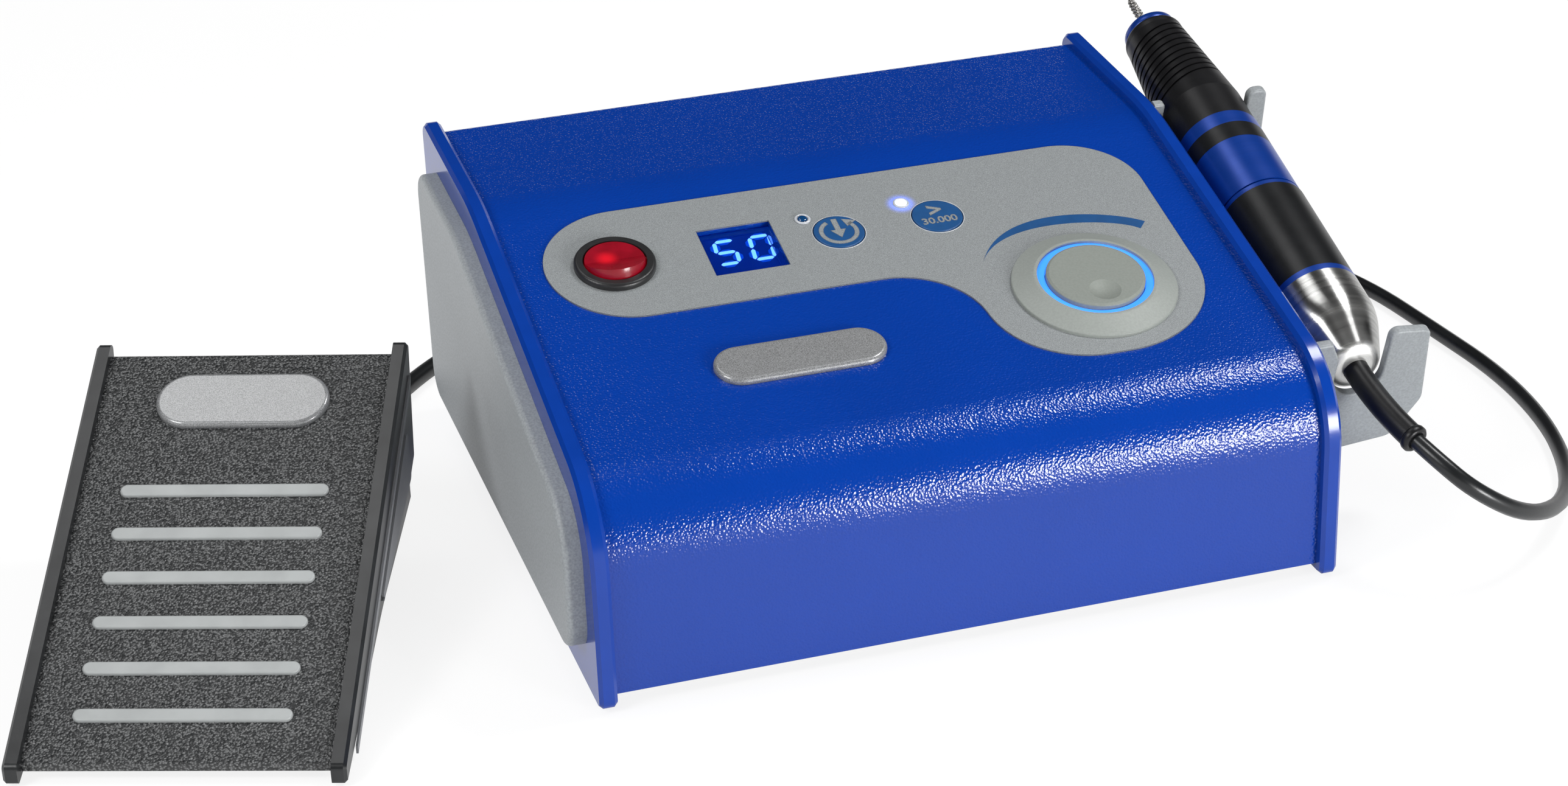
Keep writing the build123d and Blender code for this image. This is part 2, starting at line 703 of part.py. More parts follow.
def make_rocker_button():
    """Rocker cut from a ball round its pins, so that it swings free in the round hole."""
    ball = Sphere(ROCKER_HOLE_RADIUS - RUNNING_GAP)
    size = 2 * ROCKER_HOLE_RADIUS
    valley = ROCKER_VALLEY_RISE
    rocker = ball & (Pos(0, 0, -ROCKER_UNDERSIDE + size / 2) * Box(size, size, size))
    for side in (-1, 1):
        wedge = Pos(0, side * size / 2, size / 2) * Box(size + OVERRUN, size, size)
        rocker -= Pos(0, 0, valley) * Rot(side * ROCKER_TILT, 0, 0) * wedge
    pins = Rot(0, 90, 0) * Cylinder(ROCKER_PIN_RADIUS, 2 * (ROCKER_HOLE_RADIUS + ROCKER_WALL / 2))
    rocker += pins
    return PANEL * Pos(ROCKER_X, ROCKER_Y, ROCKER_PIVOT_RISE) * Rot(-ROCKER_TILT, 0, 0) * rocker


def make_knob_bezel():
    """Raised collar round the speed knob."""
    inner = LIGHT_RING_RADIUS + FIT_GAP
    top = FOIL_THICKNESS + KNOB_BEZEL_HEIGHT
    lip = FOIL_THICKNESS + KNOB_BEZEL_LIP
    collar = turned([
        (inner, FOIL_THICKNESS, 0),
        (KNOB_BEZEL_RADIUS, FOIL_THICKNESS, 0),
        (KNOB_BEZEL_RADIUS, lip, KNOB_BEZEL_LIP / 2),
        (inner + KNOB_BEZEL_LIP, top, KNOB_BEZEL_LIP),
        (inner, top, 0),
    ])
    return PANEL * Pos(KNOB_X, KNOB_Y, 0) * collar


def make_light_ring():
    """Clear ring that glows between the collar and the knob."""
    inner = KNOB_RADIUS + RUNNING_GAP
    return PANEL * Pos(KNOB_X, KNOB_Y, 0) * ring(
        LIGHT_RING_RADIUS, inner, FOIL_THICKNESS, FOIL_THICKNESS + LIGHT_RING_HEIGHT)


def make_speed_knob():
    """Flush disc with a finger dimple, on the shaft of the control below."""
    low = FOIL_THICKNESS + RUNNING_GAP
    top = FOIL_THICKNESS + KNOB_BEZEL_HEIGHT + KNOB_RISE / 2
    knob = turned([
        (0, -KNOB_SHAFT_LENGTH - COVER_THICKNESS, 0),
        (KNOB_SHAFT_RADIUS, -KNOB_SHAFT_LENGTH - COVER_THICKNESS, 0),
        (KNOB_SHAFT_RADIUS, low, 0),
        (KNOB_RADIUS, low, 0),
        (KNOB_RADIUS, top - KNOB_EDGE / 2, KNOB_EDGE / 2),
        (KNOB_RADIUS - KNOB_EDGE, top, 0),
        (0, top, 0),
    ])
    ball_radius = (DIMPLE_RADIUS ** 2 + DIMPLE_DEPTH ** 2) / (2 * DIMPLE_DEPTH)
    knob -= Pos(0, -DIMPLE_OFFSET, top + ball_radius - DIMPLE_DEPTH) * Sphere(ball_radius)
    return PANEL * Pos(KNOB_X, KNOB_Y, 0) * knob


def make_potentiometer():
    """Rotary control on the board, whose bore takes the knob's shaft."""
    low = -BOARD_DEPTH
    bore_low = -KNOB_SHAFT_LENGTH - COVER_THICKNESS - RUNNING_GAP
    body = cylinder_between(POT_RADIUS, low, low + POT_HEIGHT + KNOB_SHAFT_RADIUS)
    body -= cylinder_between(KNOB_SHAFT_RADIUS + FIT_GAP, bore_low, OVERRUN)
    return PANEL * Pos(KNOB_X, KNOB_Y, 0) * body


def make_key(x, y):
    """Round key in the foil, with a stem to its switch."""
    top = FOIL_THICKNESS + KEY_RISE
    low = top - KEY_THICKNESS
    key = turned([
        (0, -KEY_STEM_LENGTH, 0),
        (KEY_STEM_RADIUS, -KEY_STEM_LENGTH, 0),
        (KEY_STEM_RADIUS, low, 0),
        (KEY_RADIUS, low, 0),
        (KEY_RADIUS, top, KEY_EDGE),
        (0, top, 0),
    ])
    return PANEL * Pos(x, y, 0) * key


def make_unit_badge():
    """Bare domed badge with round ends."""
    face = SlotOverall(BADGE_LENGTH, BADGE_WIDTH)
    badge = extrude(panel_plane(BADGE_X, BADGE_Y) * face, BADGE_HEIGHT)
    rim = badge.faces().sort_by(lambda face: face.center().dot(SLOPE_OUT))[-1].edges()
    return fillet(rim, BADGE_EDGE)


def make_main_board():
    """Circuit board under the slope, with its two key switches."""
    low = -BOARD_DEPTH - BOARD_THICKNESS
    middle = BOARD_START + BOARD_LENGTH / 2
    board = panel_block(0, middle, BOARD_WIDTH, BOARD_LENGTH, low, -BOARD_DEPTH)
    board -= panel_disc(ROCKER_X, ROCKER_Y, rocker_barrel_radius() + RUNNING_GAP, low - OVERRUN, 0)
    for x, y in KEY_PLACES:
        switch_top = -KEY_STEM_LENGTH - KEY_TRAVEL - FIT_GAP
        board += panel_block(x, y, SWITCH_SIDE, SWITCH_SIDE, -BOARD_DEPTH, switch_top)
    return board


def make_transformer():
    """Ring transformer on the floor."""
    top = FLOOR_TOP + TRANSFORMER_HEIGHT
    core = turned([
        (TRANSFORMER_BORE, FLOOR_TOP, TRANSFORMER_ROUND),
        (TRANSFORMER_RADIUS, FLOOR_TOP, TRANSFORMER_ROUND),
        (TRANSFORMER_RADIUS, top, TRANSFORMER_ROUND),
        (TRANSFORMER_BORE, top, TRANSFORMER_ROUND),
    ])
    return Pos(TRANSFORMER_SHARE * HALF_WIDTH, COVER_DEPTH - TRANSFORMER_BACK_ROOM, 0) * core


def make_mains_inlet():
    """Inlet with three pins and a fuse drawer above them."""
    plane = rear_plane(INLET_X, INLET_Z)
    flange_face = RectangleRounded(INLET_WIDTH, INLET_HEIGHT, INLET_CORNER)
    inlet = extrude(flange_face, INLET_FLANGE)
    body_height = INLET_HEIGHT - 2 * INLET_FLANGE
    inlet += Pos(0, 0, -INLET_BODY_DEPTH / 2) * Box(INLET_MOUTH_WIDTH, body_height, INLET_BODY_DEPTH)
    mouth_low = INLET_FLANGE - INLET_MOUTH_DEPTH
    half = INLET_MOUTH_WIDTH / 2 - INLET_CORNER / 2
    top = INLET_MOUTH_HEIGHT / 2
    mouth = rounded_face([(-half, -top, 0), (half, -top, 0), (half, top - INLET_CORNER, 0),
                          (half - INLET_CORNER, top, 0), (INLET_CORNER - half, top, 0),
                          (-half, top - INLET_CORNER, 0)])
    inlet -= Pos(0, -INLET_MOUTH_DROP, mouth_low) * extrude(mouth, INLET_MOUTH_DEPTH + OVERRUN)
    for side in (-1, 0, 1):
        pin = Box(INLET_PIN_WIDTH, INLET_PIN_HEIGHT, INLET_PIN_LENGTH)
        rise = INLET_PIN_STEP / 2 * (1 - 2 * abs(side))
        inlet += Pos(side * INLET_PIN_PITCH, rise - INLET_MOUTH_DROP,
                     mouth_low + INLET_PIN_LENGTH / 2) * pin
    drawer = Box(FUSE_WIDTH, FUSE_HEIGHT, FUSE_RISE)
    inlet += Pos(0, INLET_MOUTH_DROP, INLET_FLANGE + FUSE_RISE / 2) * drawer
    return plane * inlet


def make_rear_sockets():
    """Round sockets for the handpiece and the pedal."""
    barrel = SOCKET_RADIUS - SOCKET_FLANGE
    socket = turned([
        (0, -SOCKET_DEPTH, 0),
        (barrel, -SOCKET_DEPTH, 0),
        (barrel, 0, 0),
        (SOCKET_RADIUS, 0, 0),
        (SOCKET_RADIUS, SOCKET_FLANGE, SOCKET_FLANGE / 2),
        (PLUG_NOSE_RADIUS + FIT_GAP, SOCKET_FLANGE, 0),
        (PLUG_NOSE_RADIUS + FIT_GAP, SOCKET_FLANGE - SOCKET_BORE_DEPTH, 0),
        (0, SOCKET_FLANGE - SOCKET_BORE_DEPTH, 0),
    ])
    return Compound(children=[rear_plane(x, SOCKET_Z) * socket for x in (HAND_SOCKET_X, PEDAL_SOCKET_X)])


def make_plug(x, cable_radius):
    """Round plug with a ribbed sleeve that the cable leaves."""
    low = SOCKET_FLANGE
    high = low + PLUG_LENGTH
    plug = turned([
        (0, low - PLUG_NOSE_LENGTH, 0),
        (PLUG_NOSE_RADIUS, low - PLUG_NOSE_LENGTH, 0),
        (PLUG_NOSE_RADIUS, low, 0),
        (PLUG_RADIUS, low, 0),
        (PLUG_RADIUS, high, PLUG_RIB_DEPTH * 2),
        (cable_radius + 2 * PLUG_RIB_DEPTH, high, 0),
        (cable_radius + PLUG_RIB_DEPTH, high + PLUG_SLEEVE_LENGTH, 0),
        (0, high + PLUG_SLEEVE_LENGTH, 0),
    ])
    pitch = PLUG_LENGTH / (PLUG_RIB_COUNT + 1)
    for number in range(PLUG_RIB_COUNT):
        middle = low + (number + 1) * pitch
        plug -= ring(PLUG_RADIUS + OVERRUN, PLUG_RADIUS - PLUG_RIB_DEPTH, middle - pitch / 4,
                     middle + pitch / 4)
    return rear_plane(x, SOCKET_Z) * plug


def make_foot(radius, height, sink):
    """Rubber foot from the floor to the plate above, with a dished sole."""
    foot = turned([(0, 0, 0), (radius - FOOT_BEVEL, 0, 0), (radius, FOOT_BEVEL, 0),
                   (radius, height, 0), (0, height, 0)])
    return foot - cylinder_between(radius / 2, -OVERRUN, sink / 2)


def make_rubber_feet():
    """Four feet under the unit's floor."""
    side = HALF_WIDTH - FOOT_INSET
    foot = make_foot(FOOT_RADIUS, COVER_BOTTOM, FOOT_SINK)
    return Compound(children=[Pos(x, y, 0) * foot for x in (-side, side)
                              for y in (FOOT_INSET, REAR_WALL_BACK - FOOT_INSET)])


HAND = Plane(origin=(HAND_X, HAND_Y, HAND_Z), x_dir=(1, 0, 0),
             z_dir=(0, math.cos(math.radians(HAND_PITCH)), math.sin(math.radians(HAND_PITCH))))
HOLD = Plane(origin=(HAND_X, HAND_Y, HAND_Z), x_dir=(1, 0, 0),
             z_dir=(0, -math.cos(math.radians(HAND_PITCH)), -math.sin(math.radians(HAND_PITCH))))


def make_handpiece_holder():
    """Two forks on a strip: a notched front plate and a cradle under the grip."""
    wall = CHEEK_FACE - HAND_X
    notch = FRONT_NOTCH
    front = rounded_face([
        (wall, FRONT_INNER_TOP, 0),
        (wall + FRONT_INNER_WIDTH, FRONT_INNER_TOP, FORK_TIP_ROUND / 2),
        (-notch, FRONT_INNER_TOP / 2, FORK_TIP_ROUND / 2),
        (-notch, -notch, notch * NEARLY_ROUND_SHARE),
        (notch, -notch, notch * NEARLY_ROUND_SHARE),
        (notch, FRONT_OUTER_TOP, FORK_TIP_ROUND),
        (FRONT_OUTER_X, FRONT_OUTER_SHOULDER, FORK_TIP_ROUND),
        (FRONT_WIDEST_X, FRONT_WIDEST_Z, FORK_SIDE_ROUND),
        (FRONT_HEEL_X, FRONT_HEEL_Z, FORK_HEEL_ROUND / 2),
        (wall, FRONT_BOTTOM, 0),
    ])
    cradle = GRIP_RADIUS + REAR_CRADLE_GAP
    rear = rounded_face([
        (wall, REAR_TOP, 0),
        (-cradle, REAR_TOP, REAR_INNER_ROUND),
        (-cradle, -cradle, cradle * NEARLY_ROUND_SHARE),
        (cradle, -cradle, cradle * NEARLY_ROUND_SHARE),
        (cradle, REAR_TOP, FORK_TIP_ROUND),
        (REAR_OUTER_X, REAR_TOP, FORK_TIP_ROUND),
        (REAR_WIDEST_X, REAR_WIDEST_Z, FORK_SIDE_ROUND),
        (REAR_HEEL_X, REAR_HEEL_Z, FORK_HEEL_ROUND / 2),
        (wall, REAR_BOTTOM, 0),
    ])
    front_low = -FRONT_FORK_STATION
    rear_low = -REAR_FORK_STATION - HOLDER_THICKNESS
    forks = []
    for low, face in ((front_low, front), (rear_low, rear)):
        fork = Pos(0, 0, low) * extrude(face, HOLDER_THICKNESS)
        rims = fork.faces().filter_by(Axis.Z).edges()
        free = rims.filter_by(lambda e: e.center().X > wall + HOLDER_STRIP / 2)
        forks.append(fillet(free, HOLDER_EDGE))
    strip = block(wall, wall + HOLDER_STRIP, REAR_BOTTOM, HOLDER_STRIP_TOP,
                  rear_low + HOLDER_THICKNESS / 2, front_low + HOLDER_THICKNESS / 2)
    return HOLD * (strip + forks)


def make_motor_sleeve():
    """Black sleeve with the inner tube that carries the rings in front of it."""
    return HAND * turned([
        (TUBE_BORE, THIN_RING_TOP, 0),
        (SLEEVE_RADIUS, THIN_RING_TOP, 0),
        (SLEEVE_RADIUS, SLEEVE_TOP, 0),
        (TUBE_RADIUS, SLEEVE_TOP, 0),
        (TUBE_RADIUS, FRONT_BAND_TOP, 0),
        (TUBE_BORE, FRONT_BAND_TOP, 0),
    ])


def make_band(low, high):
    """Ring of the handpiece that sits on the inner tube."""
    return HAND * ring(BAND_RADIUS, TUBE_RADIUS + FIT_GAP, low, high)


def make_chuck_ring():
    """Wide ring that is twisted to open the chuck, with a turned line near its rear."""
    body = ring(BAND_RADIUS, TUBE_RADIUS + FIT_GAP, SLEEVE_TOP + FIT_GAP, CHUCK_RING_TOP - FIT_GAP)
    groove = ring(BAND_RADIUS + OVERRUN, BAND_RADIUS - CHUCK_GROOVE_DEPTH,
                  CHUCK_RING_GROOVE - CHUCK_GROOVE_WIDTH / 2, CHUCK_RING_GROOVE + CHUCK_GROOVE_WIDTH / 2)
    return HAND * (body - groove)


def grip_outside(inset):
    """Tapered outside of the grip, moved in by an inset."""
    return turned([
        (0, FRONT_BAND_TOP, 0),
        (GRIP_RADIUS - inset, FRONT_BAND_TOP, 0),
        (GRIP_RADIUS - inset, GRIP_TAPER_STATION, 0),
        (GRIP_FRONT_RADIUS - inset, GRIP_SHOULDER_STATION, 0),
        (GRIP_FRONT_RADIUS - inset, GRIP_FRONT_STATION, GRIP_ROUND),
        (0, GRIP_FRONT_STATION, 0),
    ])


def make_grip_sleeve():
    """Black tapered grip with slanting finger grooves."""
    grip = grip_outside(0)
    grip -= turned([
        (0, FRONT_BAND_TOP - OVERRUN, 0),
        (TUBE_BORE, FRONT_BAND_TOP - OVERRUN, 0),
        (TUBE_BORE, NOSE_BORE_STATION, TUBE_BORE - NOSE_BORE),
        (NOSE_BORE, NOSE_BORE_STATION, 0),
        (NOSE_BORE, GRIP_FRONT_STATION + OVERRUN, 0),
        (0, GRIP_FRONT_STATION + OVERRUN, 0),
    ])
    skin = grip_outside(-OVERRUN) - grip_outside(GROOVE_DEPTH)
    slab = Box(4 * GRIP_RADIUS, 4 * GRIP_RADIUS, GROOVE_WIDTH)
    for number in range(GROOVE_COUNT):
        station = GROOVE_FIRST + number * GROOVE_PITCH
        grip -= skin & (Pos(0, 0, station) * Rot(0, -GROOVE_TILT, 0) * slab)
    return HAND * grip


def make_tail_cap():
    """Polished rear cap, rounded down to the cable boot."""
    return HAND * turned([
        (CAP_RADIUS, THIN_RING_LOW, 0),
        (CAP_RADIUS, CAP_SHOULDER_STATION, CAP_SHOULDER_RADIUS),
        (CAP_END_RADIUS, CAP_END_STATION, CAP_END_ROUND),
        (BOOT_RADIUS + FIT_GAP, CAP_END_STATION, 0),
        (BOOT_RADIUS + FIT_GAP, CAP_ROOM_STATION, 0),
        (CAP_ROOM_RADIUS, CAP_ROOM_STATION, 0),
        (TUBE_BORE, THIN_RING_LOW, 0),
    ])


def boot_place(angle):
    """Place and heading of the boot's middle line, after a part of its bend."""
    turn = math.radians(angle)
    side = BOOT_BEND_RADIUS * (1 - math.cos(turn))
    along = BOOT_BEND_START - BOOT_BEND_RADIUS * math.sin(turn)
    place = HAND.from_local_coords(Vector(side, 0, along))
    ahead = HAND.from_local_coords(Vector(side + math.sin(turn), 0, along - math.cos(turn)))
    return place, ahead - place


def make_cable_boot():
    """Bend protection, seated in the cap and leaning to the right."""
    start = HAND.from_local_coords(Vector(0, 0, BOOT_START))
    bend_start, heading = boot_place(0)
    bend_middle, heading = boot_place(BOOT_BEND_ANGLE / 2)
    bend_end, heading = boot_place(BOOT_BEND_ANGLE)
    path = Wire([Edge.make_line(start, bend_start),
                 Edge.make_three_point_arc(bend_start, bend_middle, bend_end)])
    plane = Plane(origin=start, z_dir=bend_start - start)
    boot = sweep(plane * Circle(BOOT_RADIUS), path)
    end_face = boot.faces().sort_by_distance(bend_end)[0]
    return fillet(end_face.edges(), BOOT_END_ROUND)


def make_motor_stator():
    """Winding pack in the inner tube."""
    return HAND * ring(TUBE_BORE - FIT_GAP, STATOR_BORE, STATOR_LOW, STATOR_HIGH)


def make_spindle_bearings():
    """Rear bearing in the tube and front bearing in the nose."""
    rear = ring(TUBE_BORE - FIT_GAP, SHAFT_RADIUS + FIT_GAP, SHAFT_LOW, SHAFT_LOW + BEARING_WIDTH)
    front = ring(NOSE_BORE - FIT_GAP, SHAFT_RADIUS + FIT_GAP, FRONT_BEARING_STATION,
                 FRONT_BEARING_STATION + BEARING_WIDTH)
    return Compound(children=[HAND * rear, HAND * front])


def make_nose_collar():
    """Blue domed collar in the grip's front."""
    return HAND * turned([
        (COLLET_RADIUS + RUNNING_GAP, COLLAR_START, 0),
        (NOSE_BORE - FIT_GAP, COLLAR_START, 0),
        (NOSE_BORE - FIT_GAP, GRIP_FRONT_STATION, 0),
        (COLLAR_RADIUS, GRIP_FRONT_STATION, 0),
        (COLLAR_RADIUS, COLLAR_END, COLLAR_ROUND),
        (COLLET_RADIUS + RUNNING_GAP, COLLAR_END, 0),
    ])


def make_spindle_shaft():
    """Shaft with the rotor on it."""
    return HAND * turned([
        (0, SHAFT_LOW, 0),
        (SHAFT_RADIUS, SHAFT_LOW, 0),
        (SHAFT_RADIUS, ROTOR_LOW, 0),
        (ROTOR_RADIUS, ROTOR_LOW, 0),
        (ROTOR_RADIUS, ROTOR_HIGH, 0),
        (SHAFT_RADIUS, ROTOR_HIGH, 0),
        (SHAFT_RADIUS, SHAFT_HIGH, 0),
        (0, SHAFT_HIGH, 0),
    ])


def make_collet():
    """Steel collet that grips the bur, with three slots."""
    collet = ring(COLLET_RADIUS, BUR_SHANK_RADIUS + FIT_GAP / 2, SHAFT_HIGH, COLLET_END)
    for number in range(COLLET_SLOTS):
        slot = Pos(COLLET_RADIUS, 0, COLLET_END) * Box(2 * COLLET_RADIUS, COLLET_SLOT_WIDTH,
                                                       2 * COLLET_RADIUS)
        collet -= Rot(0, 0, number * FULL_TURN / COLLET_SLOTS) * slot
    return HAND * collet


def make_bur():
    """Carbide bur: shank, neck and a long rounded head."""
    return HAND * turned([
        (0, BUR_START, 0),
        (BUR_SHANK_RADIUS, BUR_START, 0),
        (BUR_SHANK_RADIUS, COLLET_END + BUR_HEAD_RADIUS, 0),
        (BUR_NECK_RADIUS, BUR_HEAD_START, 0),
        (BUR_HEAD_RADIUS, BUR_WIDEST_STATION, BUR_HEAD_RADIUS),
        (BUR_HEAD_RADIUS * BUR_TIP_SHARE, BUR_TIP_STATION, BUR_HEAD_RADIUS * BUR_TIP_ROUND_SHARE),
        (0, BUR_TIP_STATION, 0),
    ])


PEDAL = Plane(origin=(PEDAL_X, PEDAL_Y, 0), z_dir=(0, 0, 1),
              x_dir=(math.cos(math.radians(PEDAL_TURN)), math.sin(math.radians(PEDAL_TURN)), 0))
TREAD = Plane(origin=(0, 0, PEDAL_FRONT_HEIGHT), x_dir=(1, 0, 0),
              z_dir=(0, -math.sin(math.radians(PEDAL_TILT)), math.cos(math.radians(PEDAL_TILT))))


def tread_height(y, drop=0):
    """Height of the tread's top over the floor, or of a level a drop below it."""
    tilt = math.radians(PEDAL_TILT)
    return PEDAL_FRONT_HEIGHT + y * math.tan(tilt) - drop / math.cos(tilt)


def spring_base_height():
    """Height of the spring's lower seat in the pedal's base."""
    share = (SPRING_Y - PEDAL_BASE_FRONT) / (PEDAL_BASE_MIDDLE_Y - PEDAL_BASE_FRONT)
    surface = PEDAL_BASE_FRONT_TOP + share * (PEDAL_BASE_MIDDLE_TOP - PEDAL_BASE_FRONT_TOP)
    return surface - SPRING_WELL


def boss_bottom():
    """Height of the flat under the tread that the spring pushes on."""
    return tread_height(SPRING_Y, PEDAL_SHEET) - BOSS_HEIGHT


def make_pedal_plate():
    """Folded tread: slope and rear wall in one sheet, with a spring boss under each side."""
    tilt = math.radians(PEDAL_TILT)
    rear_y = PEDAL_LENGTH * math.cos(tilt)
    rear_z = PEDAL_FRONT_HEIGHT + PEDAL_LENGTH * math.sin(tilt)
    inner_rear = rear_y - PEDAL_SHEET - PEDAL_SHEET / math.cos(tilt)
    face = rounded_face([
        (0, PEDAL_FRONT_HEIGHT, 0),
        (rear_y, rear_z, PEDAL_CORNER),
        (PEDAL_REAR_FOOT_Y, PEDAL_REAR_FOOT_Z, 0),
        (PEDAL_REAR_FOOT_Y - PEDAL_SHEET, PEDAL_REAR_FOOT_Z, 0),
        (inner_rear, tread_height(inner_rear, PEDAL_SHEET), 0),
        (0, tread_height(0, PEDAL_SHEET), 0),
    ])
    half = PEDAL_WIDTH / 2
    plate = extrude(side_plane(-half) * face, PEDAL_WIDTH)
    for side in (-1, 1):
        boss = cylinder_between(BOSS_RADIUS, boss_bottom(), tread_height(SPRING_Y))
        above = TREAD * Pos(0, 0, PEDAL_WIDTH - PEDAL_SHEET / 2) * Box(
            2 * PEDAL_WIDTH, 4 * PEDAL_LENGTH, 2 * PEDAL_WIDTH)
        plate += Pos(side * SPRING_SIDE, SPRING_Y, 0) * boss - above
    return PEDAL * plate


def cheek_outline():
    """Side outline of a pedal cheek, proud of the tread."""
    rise = PEDAL_CHEEK_PROUD
    return rounded_face([
        (PEDAL_CHEEK_FRONT, PEDAL_CHEEK_FRONT_FOOT, PEDAL_CORNER / 2),
        (PEDAL_CHEEK_FRONT, PEDAL_CHEEK_FRONT_TOP, PEDAL_CORNER),
        (PEDAL_CHEEK_REAR, tread_height(PEDAL_CHEEK_REAR, -rise), PEDAL_CORNER),
        (PEDAL_CHEEK_REAR_FOOT_Y, PEDAL_CHEEK_REAR_FOOT_Z, PEDAL_CORNER),
        (PEDAL_CHEEK_NOTCH_Y, PEDAL_CHEEK_NOTCH_TOP, 0),
        (PEDAL_CHEEK_NOTCH_Y, PEDAL_CHEEK_NOTCH_LOW, PEDAL_CORNER / 2),
        (PEDAL_CHEEK_BELLY_Y, PEDAL_CHEEK_BELLY_Z, PEDAL_LENGTH),
    ])


def make_pedal_cheek(side):
    """Side cheek of the tread, with a blind hole for the hinge pin."""
    inner = side * PEDAL_WIDTH / 2
    outer = side * (PEDAL_WIDTH / 2 + PEDAL_CHEEK_THICKNESS)
    cheek = extrude(side_plane(min(inner, outer)) * cheek_outline(), PEDAL_CHEEK_THICKNESS)
    rims = cheek.faces().filter_by(Axis.X).sort_by(Axis.X)[-1 if side > 0 else 0].edges()
    cheek = chamfer(rims, PEDAL_CHEEK_BEVEL)
    hole = Pos(0, HINGE_Y, HINGE_Z) * Rot(0, 90, 0) * Cylinder(
        HINGE_PIN_RADIUS + FIT_GAP, 2 * HINGE_PIN_END + 2 * FIT_GAP)
    return PEDAL * (cheek - hole)


def make_pedal_inlays():
    """Grey stripe and wedge on the outside of each cheek."""
    low_stripe = INLAY_STRIPE_DROP + INLAY_STRIPE_WIDTH
    front = INLAY_MARGIN * 2
    rear = PEDAL_CHEEK_REAR - INLAY_MARGIN
    stripe = rounded_face([
        (front, tread_height(front, INLAY_STRIPE_DROP), 0),
        (rear, tread_height(rear, INLAY_STRIPE_DROP), 0),
        (rear - PEDAL_CORNER, tread_height(rear - PEDAL_CORNER, low_stripe), 0),
        (front, tread_height(front, low_stripe), 0),
    ])
    wedge_front = PEDAL_CHEEK_BELLY_Y / 2
    wedge_rear = PEDAL_CHEEK_NOTCH_Y
    wedge = rounded_face([
        (wedge_front, tread_height(wedge_front, INLAY_WEDGE_DROP), PEDAL_CORNER / 2),
        (wedge_rear, tread_height(wedge_rear, INLAY_WEDGE_DROP), PEDAL_CORNER),
        (wedge_rear, PEDAL_CHEEK_NOTCH_TOP + INLAY_MARGIN / 2, PEDAL_CORNER),
        (PEDAL_CHEEK_BELLY_Y, PEDAL_CHEEK_BELLY_Z + INLAY_MARGIN / 2, PEDAL_CORNER),
    ])
    pieces = []
    for side in (-1, 1):
        outer = side * (PEDAL_WIDTH / 2 + PEDAL_CHEEK_THICKNESS)
        low = min(outer, outer + side * INLAY_THICKNESS)
        for face in (stripe, wedge):
            pieces.append(PEDAL * extrude(side_plane(low) * face, INLAY_THICKNESS))
    return Compound(children=pieces)


def make_tread_strips():
    """Six light strips with round ends across the tread."""
    middle = (STRIP_LEFT + STRIP_RIGHT) / 2
    width = STRIP_RIGHT - STRIP_LEFT
    strips = []
    for number in range(STRIP_COUNT):
        strip = extrude(SlotOverall(width, STRIP_WIDTH), STRIP_RISE)
        top = strip.faces().sort_by(Axis.Z)[-1].edges()
        strip = fillet(top, STRIP_ROUND)
        y = STRIP_FIRST + number * STRIP_PITCH
        strips.append(PEDAL * TREAD * Pos(middle, y, 0) * strip)
    return Compound(children=strips)


def make_pedal_badge():
    """Bare domed badge at the top of the tread."""
    badge = extrude(SlotOverall(BADGE_LENGTH, PEDAL_BADGE_WIDTH), BADGE_HEIGHT)
    rim = badge.faces().sort_by(Axis.Z)[-1].edges()
    badge = fillet(rim, BADGE_EDGE)
    return PEDAL * TREAD * Pos(0, PEDAL_BADGE_Y, 0) * badge


def make_pedal_base():
    """Weighted base under the tread, with a groove for the pin and wells for the springs."""
    face = rounded_face([
        (PEDAL_BASE_FRONT, PEDAL_BASE_BOTTOM, 0),
        (PEDAL_BASE_FRONT, PEDAL_BASE_FRONT_TOP, 0),
        (PEDAL_BASE_MIDDLE_Y, PEDAL_BASE_MIDDLE_TOP, PEDAL_CORNER * 2),
        (PEDAL_BASE_REAR, PEDAL_BASE_REAR_TOP, PEDAL_CORNER * 2),
        (PEDAL_BASE_REAR, PEDAL_BASE_BOTTOM, 0),
    ])
    base = extrude(side_plane(-PEDAL_BASE_WIDTH / 2) * face, PEDAL_BASE_WIDTH)
    upright = base.edges().filter_by(Axis.Z)
    base = fillet(upright, PEDAL_BASE_ROUND)
    base -= Pos(0, HINGE_Y, HINGE_Z) * Rot(0, 90, 0) * Cylinder(HINGE_PIN_RADIUS + FIT_GAP, PEDAL_WIDTH)
    for side in (-1, 1):
        well = cylinder_between(BOSS_RADIUS + BOSS_ROOM, spring_base_height(), PEDAL_LENGTH)
        base -= Pos(side * SPRING_SIDE, SPRING_Y, 0) * well
    return PEDAL * base


def make_hinge_pin():
    """Pin through the base into both cheeks."""
    return PEDAL * Pos(0, HINGE_Y, HINGE_Z) * Rot(0, 90, 0) * Cylinder(HINGE_PIN_RADIUS, 2 * HINGE_PIN_END)


def make_return_springs():
    """Two springs that lift the tread, as plain sleeves."""
    low = spring_base_height()
    sleeve = ring(SPRING_RADIUS, SPRING_RADIUS - SPRING_WIRE, low, boss_bottom() - FLAT_GAP)
    return Compound(children=[PEDAL * Pos(side * SPRING_SIDE, SPRING_Y, 0) * sleeve for side in (-1, 1)])


def make_pedal_feet():
    """Four rubber feet under the pedal's base."""
    side = PEDAL_BASE_WIDTH / 2 - PEDAL_FOOT_INSET
    foot = make_foot(PEDAL_FOOT_RADIUS, PEDAL_BASE_BOTTOM, PEDAL_BASE_BOTTOM)
    rows = (PEDAL_BASE_FRONT + PEDAL_FOOT_INSET, PEDAL_BASE_REAR - PEDAL_FOOT_INSET)
    return Compound(children=[PEDAL * Pos(x, y, 0) * foot for x in (-side, side) for y in rows])


